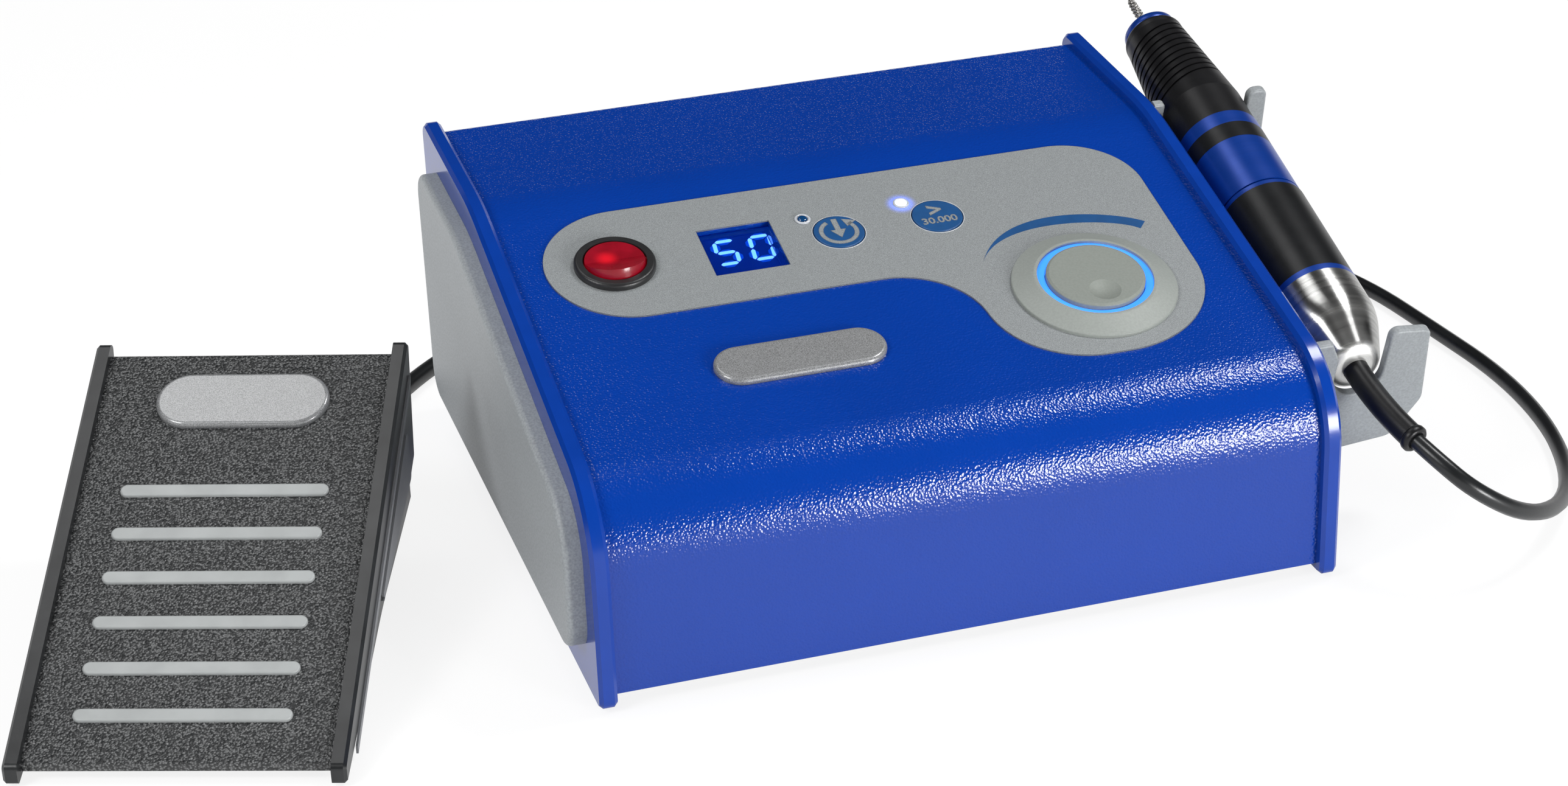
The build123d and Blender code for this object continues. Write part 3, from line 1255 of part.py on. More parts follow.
def make_cable_gland():
    """Strain relief that the pedal's cable leaves at the rear."""
    gland = turned([
        (0, 0, 0),
        (GLAND_RADIUS, 0, 0),
        (GLAND_RADIUS, GLAND_COLLAR, GLAND_ROUND),
        (PEDAL_CABLE_RADIUS + FLAT_GAP, GLAND_LENGTH, 0),
        (0, GLAND_LENGTH, 0),
    ])
    back = Plane(origin=(GLAND_X, PEDAL_BASE_REAR, GLAND_Z), x_dir=(1, 0, 0), z_dir=(0, 1, 0))
    return PEDAL * back * gland


def tube(path, radius):
    """Round cord swept along a path."""
    start = path @ 0
    return sweep(Plane(origin=start, z_dir=path % 0) * Circle(radius), path)


def cord_route(points, name, radius):
    """Path through corner points, each corner rounded by its shorter run, with its radii printed."""
    places = [Vector(point) for point in points]
    radii = []
    for before, here, after in zip(places, places[1:], places[2:]):
        back = here - before
        ahead = after - here
        turn = math.radians(back.get_angle(ahead))
        radii.append(CORNER_SHARE * min(back.length, ahead.length) / math.tan(turn / 2))
    path = Wire(FilletPolyline(*places, radius=radii).edges())
    print(name, "corner radii", [round(value, 1) for value in radii], "least wanted",
          WANTED_BEND_DIAMETERS * 2 * radius)
    return path


def coil_path(side, centre_x, mean, radius, layers, half_turns):
    """Flat layers of half turns, spiralling in and out, that climb in each turning half turn."""
    pitch = 2 * radius * COIL_PITCH_SHARE
    outer = mean + half_turns * pitch / 4
    inward = [outer - number * pitch / 2 for number in range(half_turns)]
    place = Vector(centre_x + side * outer, COIL_Y, radius)
    straight = Vector(0, 2 * radius, 0)
    edges = [Edge.make_line(place - straight, place)]
    heading = 1
    for layer in range(layers):
        rows = [(value, 0) for value in (inward if layer % 2 == 0 else inward[::-1])]
        if layer < layers - 1:
            turning = outer - half_turns * pitch / 2 if layer % 2 == 0 else outer + pitch / 2
            rows.append((turning, pitch))
        for value, climb in rows:
            across = -side * heading * value
            bulge = math.hypot(value, climb / 2)
            middle = place + Vector(across, heading * bulge, climb / 2)
            end = place + Vector(2 * across, 0, climb)
            edges.append(Edge.make_three_point_arc(place, middle, end))
            place = end
            heading = -heading
    edges.append(Edge.make_line(place, place + straight * heading))
    return Wire(edges)


def least_gap(path, radius):
    """Least free distance between two stretches of one tube, measured on points."""
    length = path.length
    points = [path.position_at(number / GAP_SAMPLES) for number in range(GAP_SAMPLES + 1)]
    step = length / GAP_SAMPLES
    skip = int(NEIGHBOUR_DIAMETERS * 2 * radius / step) + 1
    least = length
    for number, point in enumerate(points):
        for other in points[number + skip:]:
            least = min(least, (point - other).length)
    return least - 2 * radius


def socket_lead(coil, x):
    """Corner points from the end of a coil to the plug in a rear socket."""
    end = coil @ 1
    plug_end = Vector(x, REAR_WALL_BACK + SOCKET_FLANGE + PLUG_LENGTH + PLUG_SLEEVE_LENGTH, SOCKET_Z)
    run = Vector(0, LEAD_RUN, 0)
    return [end, end - run, plug_end + run, plug_end]


def make_cords():
    """Both cables: free stretch, coil and lead of each, as tubes that meet end to end."""
    boot_end, heading = boot_place(BOOT_BEND_ANGLE)
    gland_end = PEDAL.from_local_coords(Vector(GLAND_X, PEDAL_BASE_REAR + GLAND_LENGTH, GLAND_Z))
    boot_next = boot_end + heading * BOOT_RUN
    gland_next = gland_end + PEDAL.y_dir * GLAND_RUN
    plans = [
        ("handpiece", [boot_end, boot_next], HAND_ROUTE, 1, HAND_COIL_X, HAND_COIL_MEAN,
         HAND_CABLE_RADIUS, HAND_COIL_LAYERS, HAND_COIL_HALF_TURNS, HAND_SOCKET_X),
        ("pedal", [gland_end, gland_next], PEDAL_ROUTE, -1, PEDAL_COIL_X, PEDAL_COIL_MEAN,
         PEDAL_CABLE_RADIUS, PEDAL_COIL_LAYERS, PEDAL_COIL_HALF_TURNS, PEDAL_SOCKET_X),
    ]
    cords = {}
    for name, start, outward, side, x, mean, radius, layers, half_turns, socket_x in plans:
        route = [(side * CHEEK_FACE + out, y, z) for out, y, z in outward]
        coil = coil_path(side, x, mean, radius, layers, half_turns)
        coil_start = coil @ 0
        arrival = [coil_start - Vector(0, COIL_RUN, 0), coil_start]
        free = cord_route(start + route + arrival, name, radius)
        lead = cord_route(socket_lead(coil, socket_x), name + " lead", radius)
        print(name, "least gap in coil", round(least_gap(coil, radius), 2))
        total = 0
        for part_name, path in (("cable", free), ("coil", coil), ("lead", lead)):
            solid = tube(path, radius)
            cords[name + "_" + part_name] = solid
            total += path.length
            ratio = solid.volume / (math.pi * radius ** 2 * path.length)
            print(name, part_name, "length", round(path.length), "volume ratio", round(ratio, 4))
        print(name, "cord length", round(total))
    return cords


def make_all():
    """Every piece of the set under its node name."""
    pieces = {
        "top_cover": make_top_cover(),
        "base_plate": make_base_plate(),
        "rear_panel": make_rear_panel(),
        "left_cheek": make_cheek(-CHEEK_FACE),
        "right_cheek": make_cheek(HALF_WIDTH),
        "left_side_panel": make_left_side_panel(),
        "handpiece_holder": make_handpiece_holder(),
        "control_foil": make_control_foil(),
        "display_window": make_display_window(),
        "display_module": make_display_module(),
        "direction_lamp": make_lamp(*LAMP_PLACES[0]),
        "limit_lamp": make_lamp(*LAMP_PLACES[1]),
        "rocker_bezel": make_rocker_bezel(),
        "rocker_button": make_rocker_button(),
        "knob_bezel": make_knob_bezel(),
        "light_ring": make_light_ring(),
        "speed_knob": make_speed_knob(),
        "potentiometer": make_potentiometer(),
        "direction_button": make_key(*KEY_PLACES[0]),
        "limit_button": make_key(*KEY_PLACES[1]),
        "unit_badge": make_unit_badge(),
        "main_board": make_main_board(),
        "transformer": make_transformer(),
        "mains_inlet": make_mains_inlet(),
        "rear_sockets": make_rear_sockets(),
        "handpiece_plug": make_plug(HAND_SOCKET_X, HAND_CABLE_RADIUS),
        "pedal_plug": make_plug(PEDAL_SOCKET_X, PEDAL_CABLE_RADIUS),
        "rubber_feet": make_rubber_feet(),
        "motor_sleeve": make_motor_sleeve(),
        "marking_band": make_band(CHUCK_RING_TOP, MARKING_BAND_TOP),
        "front_band": make_band(MARKING_BAND_TOP, FRONT_BAND_TOP),
        "chuck_ring": make_chuck_ring(),
        "thin_ring": HAND * ring(CAP_RADIUS, TUBE_BORE, THIN_RING_LOW, THIN_RING_TOP),
        "grip_sleeve": make_grip_sleeve(),
        "nose_collar": make_nose_collar(),
        "tail_cap": make_tail_cap(),
        "cable_boot": make_cable_boot(),
        "motor_stator": make_motor_stator(),
        "spindle_bearings": make_spindle_bearings(),
        "spindle_shaft": make_spindle_shaft(),
        "collet": make_collet(),
        "bur": make_bur(),
        "pedal_plate": make_pedal_plate(),
        "pedal_left_cheek": make_pedal_cheek(-1),
        "pedal_right_cheek": make_pedal_cheek(1),
        "pedal_inlays": make_pedal_inlays(),
        "tread_strips": make_tread_strips(),
        "pedal_badge": make_pedal_badge(),
        "pedal_base": make_pedal_base(),
        "hinge_pin": make_hinge_pin(),
        "return_springs": make_return_springs(),
        "pedal_feet": make_pedal_feet(),
        "cable_gland": make_cable_gland(),
    }
    pieces.update(make_cords())
    return pieces


os.makedirs("parts", exist_ok=True)
for piece_name, piece in make_all().items():
    placed = Pos(-SET_MIDDLE_X, -SET_MIDDLE_Y, 0) * piece
    solids = placed.solids()
    shape = solids[0] if len(solids) == 1 else Compound(children=solids)
    export_step(shape, "parts/" + piece_name + ".step")
    box = shape.bounding_box()
    print(piece_name, len(solids), "solids", round(shape.volume), "mm3",
          [round(value, 1) for value in (*box.min, *box.max)])
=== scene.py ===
# %% [markdown]
# A micromotor polisher: a blue control unit, a handpiece in its side holder, a foot pedal and two
# cables. The rigid pieces come from the CAD frame, so this lesson dresses them, draws the signs on
# them, and models what CAD left plain: the cables, the springs and the bur's flutes.

# %% Load the frame
import math
import bmesh
import bpy
from mathutils import Matrix, Vector


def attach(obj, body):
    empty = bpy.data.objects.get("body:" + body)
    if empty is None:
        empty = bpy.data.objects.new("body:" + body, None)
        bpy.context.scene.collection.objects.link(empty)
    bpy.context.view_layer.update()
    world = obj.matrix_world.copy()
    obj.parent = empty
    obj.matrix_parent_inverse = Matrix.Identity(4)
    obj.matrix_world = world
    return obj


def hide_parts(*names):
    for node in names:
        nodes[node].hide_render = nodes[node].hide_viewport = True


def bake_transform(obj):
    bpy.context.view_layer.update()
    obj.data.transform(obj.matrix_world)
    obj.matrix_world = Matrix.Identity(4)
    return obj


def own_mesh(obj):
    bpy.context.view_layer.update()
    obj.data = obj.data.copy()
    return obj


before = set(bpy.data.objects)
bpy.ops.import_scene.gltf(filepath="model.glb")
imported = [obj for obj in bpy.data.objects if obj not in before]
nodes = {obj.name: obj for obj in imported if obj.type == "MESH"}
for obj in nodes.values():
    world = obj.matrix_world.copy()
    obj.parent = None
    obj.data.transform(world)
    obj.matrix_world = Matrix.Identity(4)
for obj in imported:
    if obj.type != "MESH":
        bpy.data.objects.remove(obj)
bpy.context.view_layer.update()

# %% [markdown]
# Every place below is measured on the real object in millimetres, from the front corner of the unit.
# Blender works in metres, and the frame has its zero under the middle of the set, so one small
# function turns a workshop place into a Blender place. Doing this by hand for each point would
# invite slips.

# %% From workshop millimetres to the frame
MM = 0.001
ZERO_SHIFT = Vector((55.9, -88.86, 0.0))


def place(x, y, z):
    """Place in the frame, in metres, of a workshop place in millimetres."""
    return (Vector((x, y, z)) + ZERO_SHIFT) * MM


print("front corner of the unit:", [round(value, 4) for value in place(0, 0, 0)])

# %% [markdown]
# The picture was taken with a long lens from the front left, a little over the unit. A long lens
# keeps the parallel edges nearly parallel. The camera's turn is built from three plain turns:
# round the upright, down towards the bench, and a slight lean.

# %% Camera
CAMERA_PLACE = (-260.4, -711.1, 443.4)
CAMERA_AZIMUTH = math.radians(-16.38)
CAMERA_ELEVATION = math.radians(25.94)
CAMERA_LEAN = math.radians(-2.07)
LENS_MM = 74.55
SENSOR_MM = 36.0
CLIP_START = 0.05

camera_data = bpy.data.cameras.new("camera")
camera_data.sensor_width = SENSOR_MM
camera_data.lens = LENS_MM
camera_data.clip_start = CLIP_START
camera = bpy.data.objects.new("camera", camera_data)
bpy.context.scene.collection.objects.link(camera)
camera_turn = (Matrix.Rotation(CAMERA_AZIMUTH, 4, "Z")
               @ Matrix.Rotation(math.pi / 2 - CAMERA_ELEVATION, 4, "X")
               @ Matrix.Rotation(CAMERA_LEAN, 4, "Z"))
camera.matrix_world = Matrix.Translation(place(*CAMERA_PLACE)) @ camera_turn
bpy.context.scene.camera = camera
bpy.context.scene.view_settings.view_transform = "Standard"
print("camera at", [round(value, 3) for value in camera.location])

# %% [markdown]
# The set stands on a white table in a dim studio. A pure white background could come from strong
# lamps, but they would bleach the object. Here the floor is white only for the camera, for
# reflections and for what is seen through glass, and stays plain for the light that falls on the
# object, so the shadow stays.

# %% White floor
FLOOR_SIZE = 12.0
FLOOR_PAINT = (0.9, 0.9, 0.9)
FLOOR_ROUGHNESS = 0.9
FLOOR_SPECULAR = 0.1
FLOOR_GLOW_SHARE = 0.8
FLOOR_GLOW_LEVEL = 1.045
GLOSSY_SHARE = 0.65


def seen_directly(tree, glossy):
    """One for camera and transmission rays, a share for glossy ones, and zero for the rest."""
    paths = tree.nodes.new("ShaderNodeLightPath")
    total = paths.outputs["Is Camera Ray"]
    for ray, weight in (("Is Glossy Ray", glossy), ("Is Transmission Ray", 1)):
        more = tree.nodes.new("ShaderNodeMath")
        more.operation = "MULTIPLY_ADD"
        more.inputs[1].default_value = weight
        tree.links.new(paths.outputs[ray], more.inputs[0])
        tree.links.new(total, more.inputs[2])
        total = more.outputs[0]
    return total


floor_material = bpy.data.materials.new("white_floor")
floor_material.use_nodes = True
floor_tree = floor_material.node_tree
floor_shader = floor_tree.nodes["Principled BSDF"]
floor_shader.inputs["Base Color"].default_value = (*FLOOR_PAINT, 1)
floor_shader.inputs["Roughness"].default_value = FLOOR_ROUGHNESS
floor_shader.inputs["Specular IOR Level"].default_value = FLOOR_SPECULAR
glow = floor_tree.nodes.new("ShaderNodeEmission")
glow.inputs["Strength"].default_value = FLOOR_GLOW_LEVEL
share = floor_tree.nodes.new("ShaderNodeMath")
share.operation = "MULTIPLY"
share.inputs[1].default_value = FLOOR_GLOW_SHARE
floor_tree.links.new(seen_directly(floor_tree, GLOSSY_SHARE), share.inputs[0])
floor_mix = floor_tree.nodes.new("ShaderNodeMixShader")
floor_tree.links.new(share.outputs[0], floor_mix.inputs["Fac"])
floor_tree.links.new(floor_shader.outputs[0], floor_mix.inputs[1])
floor_tree.links.new(glow.outputs[0], floor_mix.inputs[2])
floor_tree.links.new(floor_mix.outputs[0], floor_tree.nodes["Material Output"].inputs["Surface"])

floor_mesh = bpy.data.meshes.new("floor")
half = FLOOR_SIZE / 2
floor_mesh.from_pydata([(-half, -half, 0), (half, -half, 0), (half, half, 0), (-half, half, 0)],
                       [], [(0, 1, 2, 3)])
floor = bpy.data.objects.new("floor", floor_mesh)
floor.data.materials.append(floor_material)
bpy.context.scene.collection.objects.link(floor)
print("floor", FLOOR_SIZE, "m across")

# %% [markdown]
# The world round the table is white for the camera. In reflections it is a white backdrop low down
# and dim above, because a white ceiling would lie as a haze on the blue sheet. A map from height to
# brightness makes both out of one world, with a soft change between them.

# %% Backdrop and dim ceiling
WORLD_LEVEL = 0.36
CEILING_LEVEL = 0.012
BACKDROP_TOP = 0.04
CEILING_START = 0.24

world = bpy.data.worlds.new("white_studio")
world.use_nodes = True
world_tree = world.node_tree
height = world_tree.nodes.new("ShaderNodeSeparateXYZ")
direction = world_tree.nodes.new("ShaderNodeTexCoord")
world_tree.links.new(direction.outputs["Generated"], height.inputs["Vector"])
backdrop = world_tree.nodes.new("ShaderNodeMapRange")
backdrop.interpolation_type = "SMOOTHSTEP"
for socket, value in (("From Min", BACKDROP_TOP), ("From Max", CEILING_START),
                      ("To Min", 1.0), ("To Max", CEILING_LEVEL)):
    backdrop.inputs[socket].default_value = value
world_tree.links.new(height.outputs["Z"], backdrop.inputs["Value"])
level = world_tree.nodes.new("ShaderNodeMix")
level.data_type = "FLOAT"
level.inputs["A"].default_value = WORLD_LEVEL
world_tree.links.new(seen_directly(world_tree, 1), level.inputs["Factor"])
world_tree.links.new(backdrop.outputs["Result"], level.inputs["B"])
background = world_tree.nodes["Background"]
background.inputs["Color"].default_value = (1, 1, 1, 1)
for_camera = world_tree.nodes.new("ShaderNodeMath")
for_camera.operation = "MAXIMUM"
world_paths = world_tree.nodes.new("ShaderNodeLightPath")
world_tree.links.new(world_paths.outputs["Is Camera Ray"], for_camera.inputs[0])
world_tree.links.new(level.outputs["Result"], for_camera.inputs[1])
world_tree.links.new(for_camera.outputs[0], background.inputs["Strength"])
bpy.context.scene.world = world
print("white backdrop, dim ceiling, world level", WORLD_LEVEL)

# %% [markdown]
# Two soft boxes make the two pale bands on the unit's front bend: one high on the right, and one low
# in front, with a dark gap between them. Both stand to the right, so the bands fade out to the left.
# A weaker lamp from the left opens up the grey side panel and the pedal, and the weakest, overhead,
# fills the shadows. Area lamps are used because their shape shows in the gloss. The table gives each
# lamp's name, place and two widths in millimetres, and its power in watts.

# %% Lamps
AIM = place(0, 40, 50)
LAMPS = [
    ("high_box", (610, 120, 1050), 300, 270, 5.8),
    ("low_box", (600, -1060, 190), 420, 320, 13.0),
    ("left_box", (-930, -280, 860), 420, 420, 7.0),
    ("top_fill", (-300, 500, 1300), 500, 500, 2.6),
]


def add_lamp(name, spot, width, height, power):
    """Rectangular lamp at a workshop place, turned towards the object."""
    light = bpy.data.lights.new(name, "AREA")
    light.shape = "RECTANGLE"
    light.size = width * MM
    light.size_y = height * MM
    light.energy = power
    lamp = bpy.data.objects.new(name, light)
    lamp.location = place(*spot)
    lamp.rotation_euler = (AIM - lamp.location).to_track_quat("-Z", "Y").to_euler()
    bpy.context.scene.collection.objects.link(lamp)
    return lamp


for lamp_facts in LAMPS:
    lamp = add_lamp(*lamp_facts)
    print(lamp.name, "at", [round(value, 2) for value in lamp.location])

# %% [markdown]
# Each cable is one smooth line: straight out of its strain relief, down to the bench, along it, and
# then the spare length in a neat coil behind the unit, up to its plug. A smooth spline through a
# few control points bends like rubber does, which a chain of short straight pieces never will. The
# spline runs inside its corners, so each coil's points stand a little outside the coil.

# %% Facts and corner points of both cables
HAND_CABLE = 4.8
PEDAL_CABLE = 5.6
HAND_COIL = dict(side=1, middle_x=110.0, mean=27.6, diameter=HAND_CABLE, layers=2, half_turns=4)
PEDAL_COIL = dict(side=-1, middle_x=-30.0, mean=30.8, diameter=PEDAL_CABLE, layers=4, half_turns=3)
COIL_PITCH_SHARE = 1.12
COIL_Y = 296.0
POINTS_PER_HALF_TURN = 8
HAND_START = (126.588, -3.489, 38.82)
HAND_HEADING = Vector((0.2924, -0.9053, -0.3082))
HAND_STRAIGHT = 8.6
HAND_ROUTE = [
    (136.5, -20.0, 29.3), (153.0, -19.5, 18.5), (174.0, -3.0, 9.3), (192.0, 24.0, 3.4),
    (203.0, 56.0, 2.4), (206.5, 92.0, 2.4), (202.5, 130.0, 2.4), (198.5, 165.0, 2.4),
    (186.0, 200.0, 2.4), (160.0, 236.0, 2.4), (142.976, 266.2, 2.4), (142.976, 291.2, 2.4),
]
HAND_END = [(77.024, 291.2, 7.776), (77.024, 270.2, 7.776), (74.0, 238.5, 30.0), (74.0, 217.5, 30.0)]
PEDAL_START = (-154.94, 107.41, 10.0)
PEDAL_ROUTE = [
    (-148.78, 124.33, 10.0), (-138.0, 154.0, 2.8), (-127.0, 190.0, 2.8), (-103.0, 219.0, 2.8),
    (-76.0, 238.0, 2.8), (-65.504, 265.4, 2.8), (-65.504, 290.4, 2.8),
]
PEDAL_END = [(11.776, 290.4, 21.616), (11.776, 269.4, 21.616), (8.0, 238.5, 30.0), (8.0, 217.5, 30.0)]


def coil_points(side, middle_x, mean, diameter, layers, half_turns):
    """Control points of a coil that spirals in and out, and climbs at each change of layer."""
    pitch = diameter * COIL_PITCH_SHARE
    outer = mean + half_turns * pitch / 4
    inward = [outer - number * pitch / 2 for number in range(half_turns)]
    x, z, heading = middle_x + side * outer, diameter / 2, 1
    step = math.pi / POINTS_PER_HALF_TURN
    points = []
    for layer in range(layers):
        rows = [(radius, 0) for radius in (inward if layer % 2 == 0 else inward[::-1])]
        if layer < layers - 1:
            last = outer - half_turns * pitch / 2 if layer % 2 == 0 else outer + pitch / 2
            rows.append((last, pitch))
        for radius, climb in rows:
            across = -side * heading
            reach = radius / math.cos(step / 2)
            for number in range(POINTS_PER_HALF_TURN):
                angle = (number + 0.5) * step
                points.append((x + across * (radius - reach * math.cos(angle)),
                               COIL_Y + heading * reach * math.sin(angle),
                               z + climb * angle / math.pi))
            x += across * 2 * radius
            z += climb
            heading = -heading
    return points


hand_points = [HAND_START, tuple(Vector(HAND_START) + HAND_HEADING * HAND_STRAIGHT)]
hand_points += HAND_ROUTE + coil_points(**HAND_COIL) + HAND_END
pedal_points = [PEDAL_START] + PEDAL_ROUTE + coil_points(**PEDAL_COIL) + PEDAL_END
print("control points:", len(hand_points), "and", len(pedal_points))

# %% [markdown]
# The handpiece lifts out of its holder and takes the first stretch of cable with it, so that cable
# becomes a mesh tube, with its place baked into its points. The pedal's cable lies still.

# %% Cables as smooth tubes
TUBE_RING = 12
SPLINE_STEPS = 6
SPLINE_ORDER = 3


def smooth_line(name, points, radius):
    """Curve object whose one spline is drawn to workshop points, with a round section."""
    curve = bpy.data.curves.new(name, "CURVE")
    curve.dimensions = "3D"
    spline = curve.splines.new("NURBS")
    spline.points.add(len(points) - 1)
    for point, corner in zip(spline.points, points):
        point.co = (*place(*corner), 1)
    spline.order_u = SPLINE_ORDER
    spline.use_endpoint_u = True
    spline.resolution_u = SPLINE_STEPS
    curve.bevel_depth = radius * MM
    curve.bevel_resolution = TUBE_RING // 4
    curve.use_fill_caps = True
    line = bpy.data.objects.new(name, curve)
    bpy.context.scene.collection.objects.link(line)
    return line


def as_tube(name, points, radius):
    """Mesh tube along a smooth line, and the points of the line itself."""
    line = smooth_line(name + "_line", points, radius)
    tube = bpy.data.objects.new(name, bpy.data.meshes.new_from_object(line))
    line.data.bevel_depth = 0
    bare = bpy.data.meshes.new_from_object(line)
    path = [tuple(vertex.co) for vertex in bare.vertices]
    bpy.data.objects.remove(line)
    bpy.context.scene.collection.objects.link(tube)
    tube.data.shade_smooth()
    return tube, path


hand_cord, hand_path = as_tube("handpiece_cord", hand_points, HAND_CABLE / 2)
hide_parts("handpiece_cable", "handpiece_coil", "handpiece_lead")
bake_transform(hand_cord)
pedal_cord, pedal_path = as_tube("pedal_cord", pedal_points, PEDAL_CABLE / 2)
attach(pedal_cord, "console")
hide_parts("pedal_cable", "pedal_coil", "pedal_lead")
for cord_name, path in (("handpiece", hand_path), ("pedal", pedal_path)):
    runs = [(Vector(after) - Vector(before)).length for before, after in zip(path, path[1:])]
    print(cord_name, "cable is", round(sum(runs), 3), "m long")

# %% [markdown]
# Nothing on a real set has one flat colour. Powder coat is pebbled, moulded plastic has a fine
# grain, turned metal has rings, and everything varies a little in shade and gloss. All of it is made
# from noise and cell patterns in the surface's own shader, so it needs no pictures and stays sharp.

# %% A plain material, and patterns for it
CELL_ROUNDING = 0.6


def plain_surface(name, colour, roughness, metallic=0.0, specular=0.5, coat=0.0, coat_roughness=0.1):
    """New material with constant values on the shader's own sockets."""
    material = bpy.data.materials.new(name)
    material.use_nodes = True
    shader = material.node_tree.nodes["Principled BSDF"]
    shader.inputs["Base Color"].default_value = (*colour, 1)
    shader.inputs["Roughness"].default_value = roughness
    shader.inputs["Metallic"].default_value = metallic
    shader.inputs["Specular IOR Level"].default_value = specular
    shader.inputs["Coat Weight"].default_value = coat
    shader.inputs["Coat Roughness"].default_value = coat_roughness
    return material


def texture_place(tree, turn=(0, 0, 0), stretch=(1, 1, 1)):
    """The object's own coordinates, first turned and then stretched."""
    where = tree.nodes.new("ShaderNodeTexCoord").outputs["Object"]
    for socket, values in (("Rotation", turn), ("Scale", stretch)):
        mapping = tree.nodes.new("ShaderNodeMapping")
        mapping.inputs[socket].default_value = values
        tree.links.new(where, mapping.inputs["Vector"])
        where = mapping.outputs["Vector"]
    return where


def noise(tree, size_mm, where=None, detail=3.0):
    """Soft noise whose blobs are about size_mm across."""
    texture = tree.nodes.new("ShaderNodeTexNoise")
    texture.inputs["Scale"].default_value = 1 / (size_mm * MM)
    texture.inputs["Detail"].default_value = detail
    tree.links.new(where or texture_place(tree), texture.inputs["Vector"])
    return texture.outputs["Fac"]


def cells(tree, size_mm, where=None):
    """Rounded cells about size_mm across, as moulded or sprayed grain has."""
    texture = tree.nodes.new("ShaderNodeTexVoronoi")
    texture.feature = "SMOOTH_F1"
    texture.inputs["Scale"].default_value = 1 / (size_mm * MM)
    texture.inputs["Smoothness"].default_value = CELL_ROUNDING
    tree.links.new(where or texture_place(tree), texture.inputs["Vector"])
    return texture.outputs["Distance"]


def near(tree, centre, radius_mm):
    """Value that is one at a place and falls to zero at a radius round it."""
    distance = tree.nodes.new("ShaderNodeVectorMath")
    distance.operation = "DISTANCE"
    distance.inputs[1].default_value = centre
    tree.links.new(texture_place(tree), distance.inputs[0])
    fade = tree.nodes.new("ShaderNodeMapRange")
    fade.interpolation_type = "SMOOTHERSTEP"
    fade.inputs["From Max"].default_value = radius_mm * MM
    fade.inputs["To Min"].default_value = 1.0
    fade.inputs["To Max"].default_value = 0.0
    tree.links.new(distance.outputs["Value"], fade.inputs["Value"])
    return fade.outputs["Result"]


print("patterns: noise, cells and a place")

# %% [markdown]
# A pattern is a value between zero and one. On its own it does nothing: each helper here lets it
# drive one thing that the eye reads as stuff, which is colour, gloss, relief, glow or a cut edge.

# %% What a pattern can drive
EDGE_BEGINS = 0.985
EDGE_FULL = 0.90


def colour_from(material, pattern, dark, light, low=0.35, high=0.65):
    """Base colour that goes from dark to light with a pattern."""
    tree = material.node_tree
    ramp = tree.nodes.new("ShaderNodeValToRGB")
    ramp.color_ramp.elements[0].position = low
    ramp.color_ramp.elements[0].color = (*dark, 1)
    ramp.color_ramp.elements[1].position = high
    ramp.color_ramp.elements[1].color = (*light, 1)
    tree.links.new(pattern, ramp.inputs["Fac"])
    tree.links.new(ramp.outputs["Color"], tree.nodes["Principled BSDF"].inputs["Base Color"])


def gloss_from(material, pattern, low, high):
    """Roughness that varies with a pattern."""
    tree = material.node_tree
    spread = tree.nodes.new("ShaderNodeMapRange")
    spread.inputs["To Min"].default_value = low
    spread.inputs["To Max"].default_value = high
    tree.links.new(pattern, spread.inputs["Value"])
    tree.links.new(spread.outputs["Result"], tree.nodes["Principled BSDF"].inputs["Roughness"])


def relief_from(material, pattern, depth_mm):
    """Fine relief, laid over any relief that the material has."""
    tree = material.node_tree
    bump = tree.nodes.new("ShaderNodeBump")
    bump.inputs["Distance"].default_value = depth_mm * MM
    bump.inputs["Strength"].default_value = 1.0
    tree.links.new(pattern, bump.inputs["Height"])
    shader_normal = tree.nodes["Principled BSDF"].inputs["Normal"]
    if shader_normal.is_linked:
        tree.links.new(shader_normal.links[0].from_socket, bump.inputs["Normal"])
    tree.links.new(bump.outputs["Normal"], shader_normal)


def glow_from(material, pattern, colour, low, high):
    """Light given off by a surface, stronger where a pattern is high."""
    tree = material.node_tree
    shader = tree.nodes["Principled BSDF"]
    shader.inputs["Emission Color"].default_value = (*colour, 1)
    strength = tree.nodes.new("ShaderNodeMapRange")
    strength.inputs["To Min"].default_value = low
    strength.inputs["To Max"].default_value = high
    tree.links.new(pattern, strength.inputs["Value"])
    tree.links.new(strength.outputs["Result"], shader.inputs["Emission Strength"])


def edge_line(material, width_mm, colour):
    """Painted shade of a colour on rounded or cut edges, where a bevelled normal leaves the true one.
    """
    tree = material.node_tree
    shader = tree.nodes["Principled BSDF"]
    bevel = tree.nodes.new("ShaderNodeBevel")
    bevel.inputs["Radius"].default_value = width_mm * MM
    true_normal = tree.nodes.new("ShaderNodeNewGeometry").outputs["Normal"]
    agree = tree.nodes.new("ShaderNodeVectorMath")
    agree.operation = "DOT_PRODUCT"
    tree.links.new(bevel.outputs["Normal"], agree.inputs[0])
    tree.links.new(true_normal, agree.inputs[1])
    mask = tree.nodes.new("ShaderNodeMapRange")
    mask.inputs["From Min"].default_value = EDGE_BEGINS
    mask.inputs["From Max"].default_value = EDGE_FULL
    tree.links.new(agree.outputs["Value"], mask.inputs["Value"])
    mix = tree.nodes.new("ShaderNodeMix")
    mix.data_type = "RGBA"
    tree.links.new(mask.outputs["Result"], mix.inputs["Factor"])
    tree.links.new(shader.inputs["Base Color"].links[0].from_socket, mix.inputs["A"])
    mix.inputs["B"].default_value = (*colour, 1)
    tree.links.new(mix.outputs["Result"], shader.inputs["Base Color"])


print("patterns can drive colour, gloss, relief, glow and edges")

# %% [markdown]
# Most pieces need one of two finishes, moulded or turned, that differ only in a few numbers. Each is
# a function, so that a piece's own line lists just what is special about it: its colour, roughness,
# the size of its grain or rings and their depth.

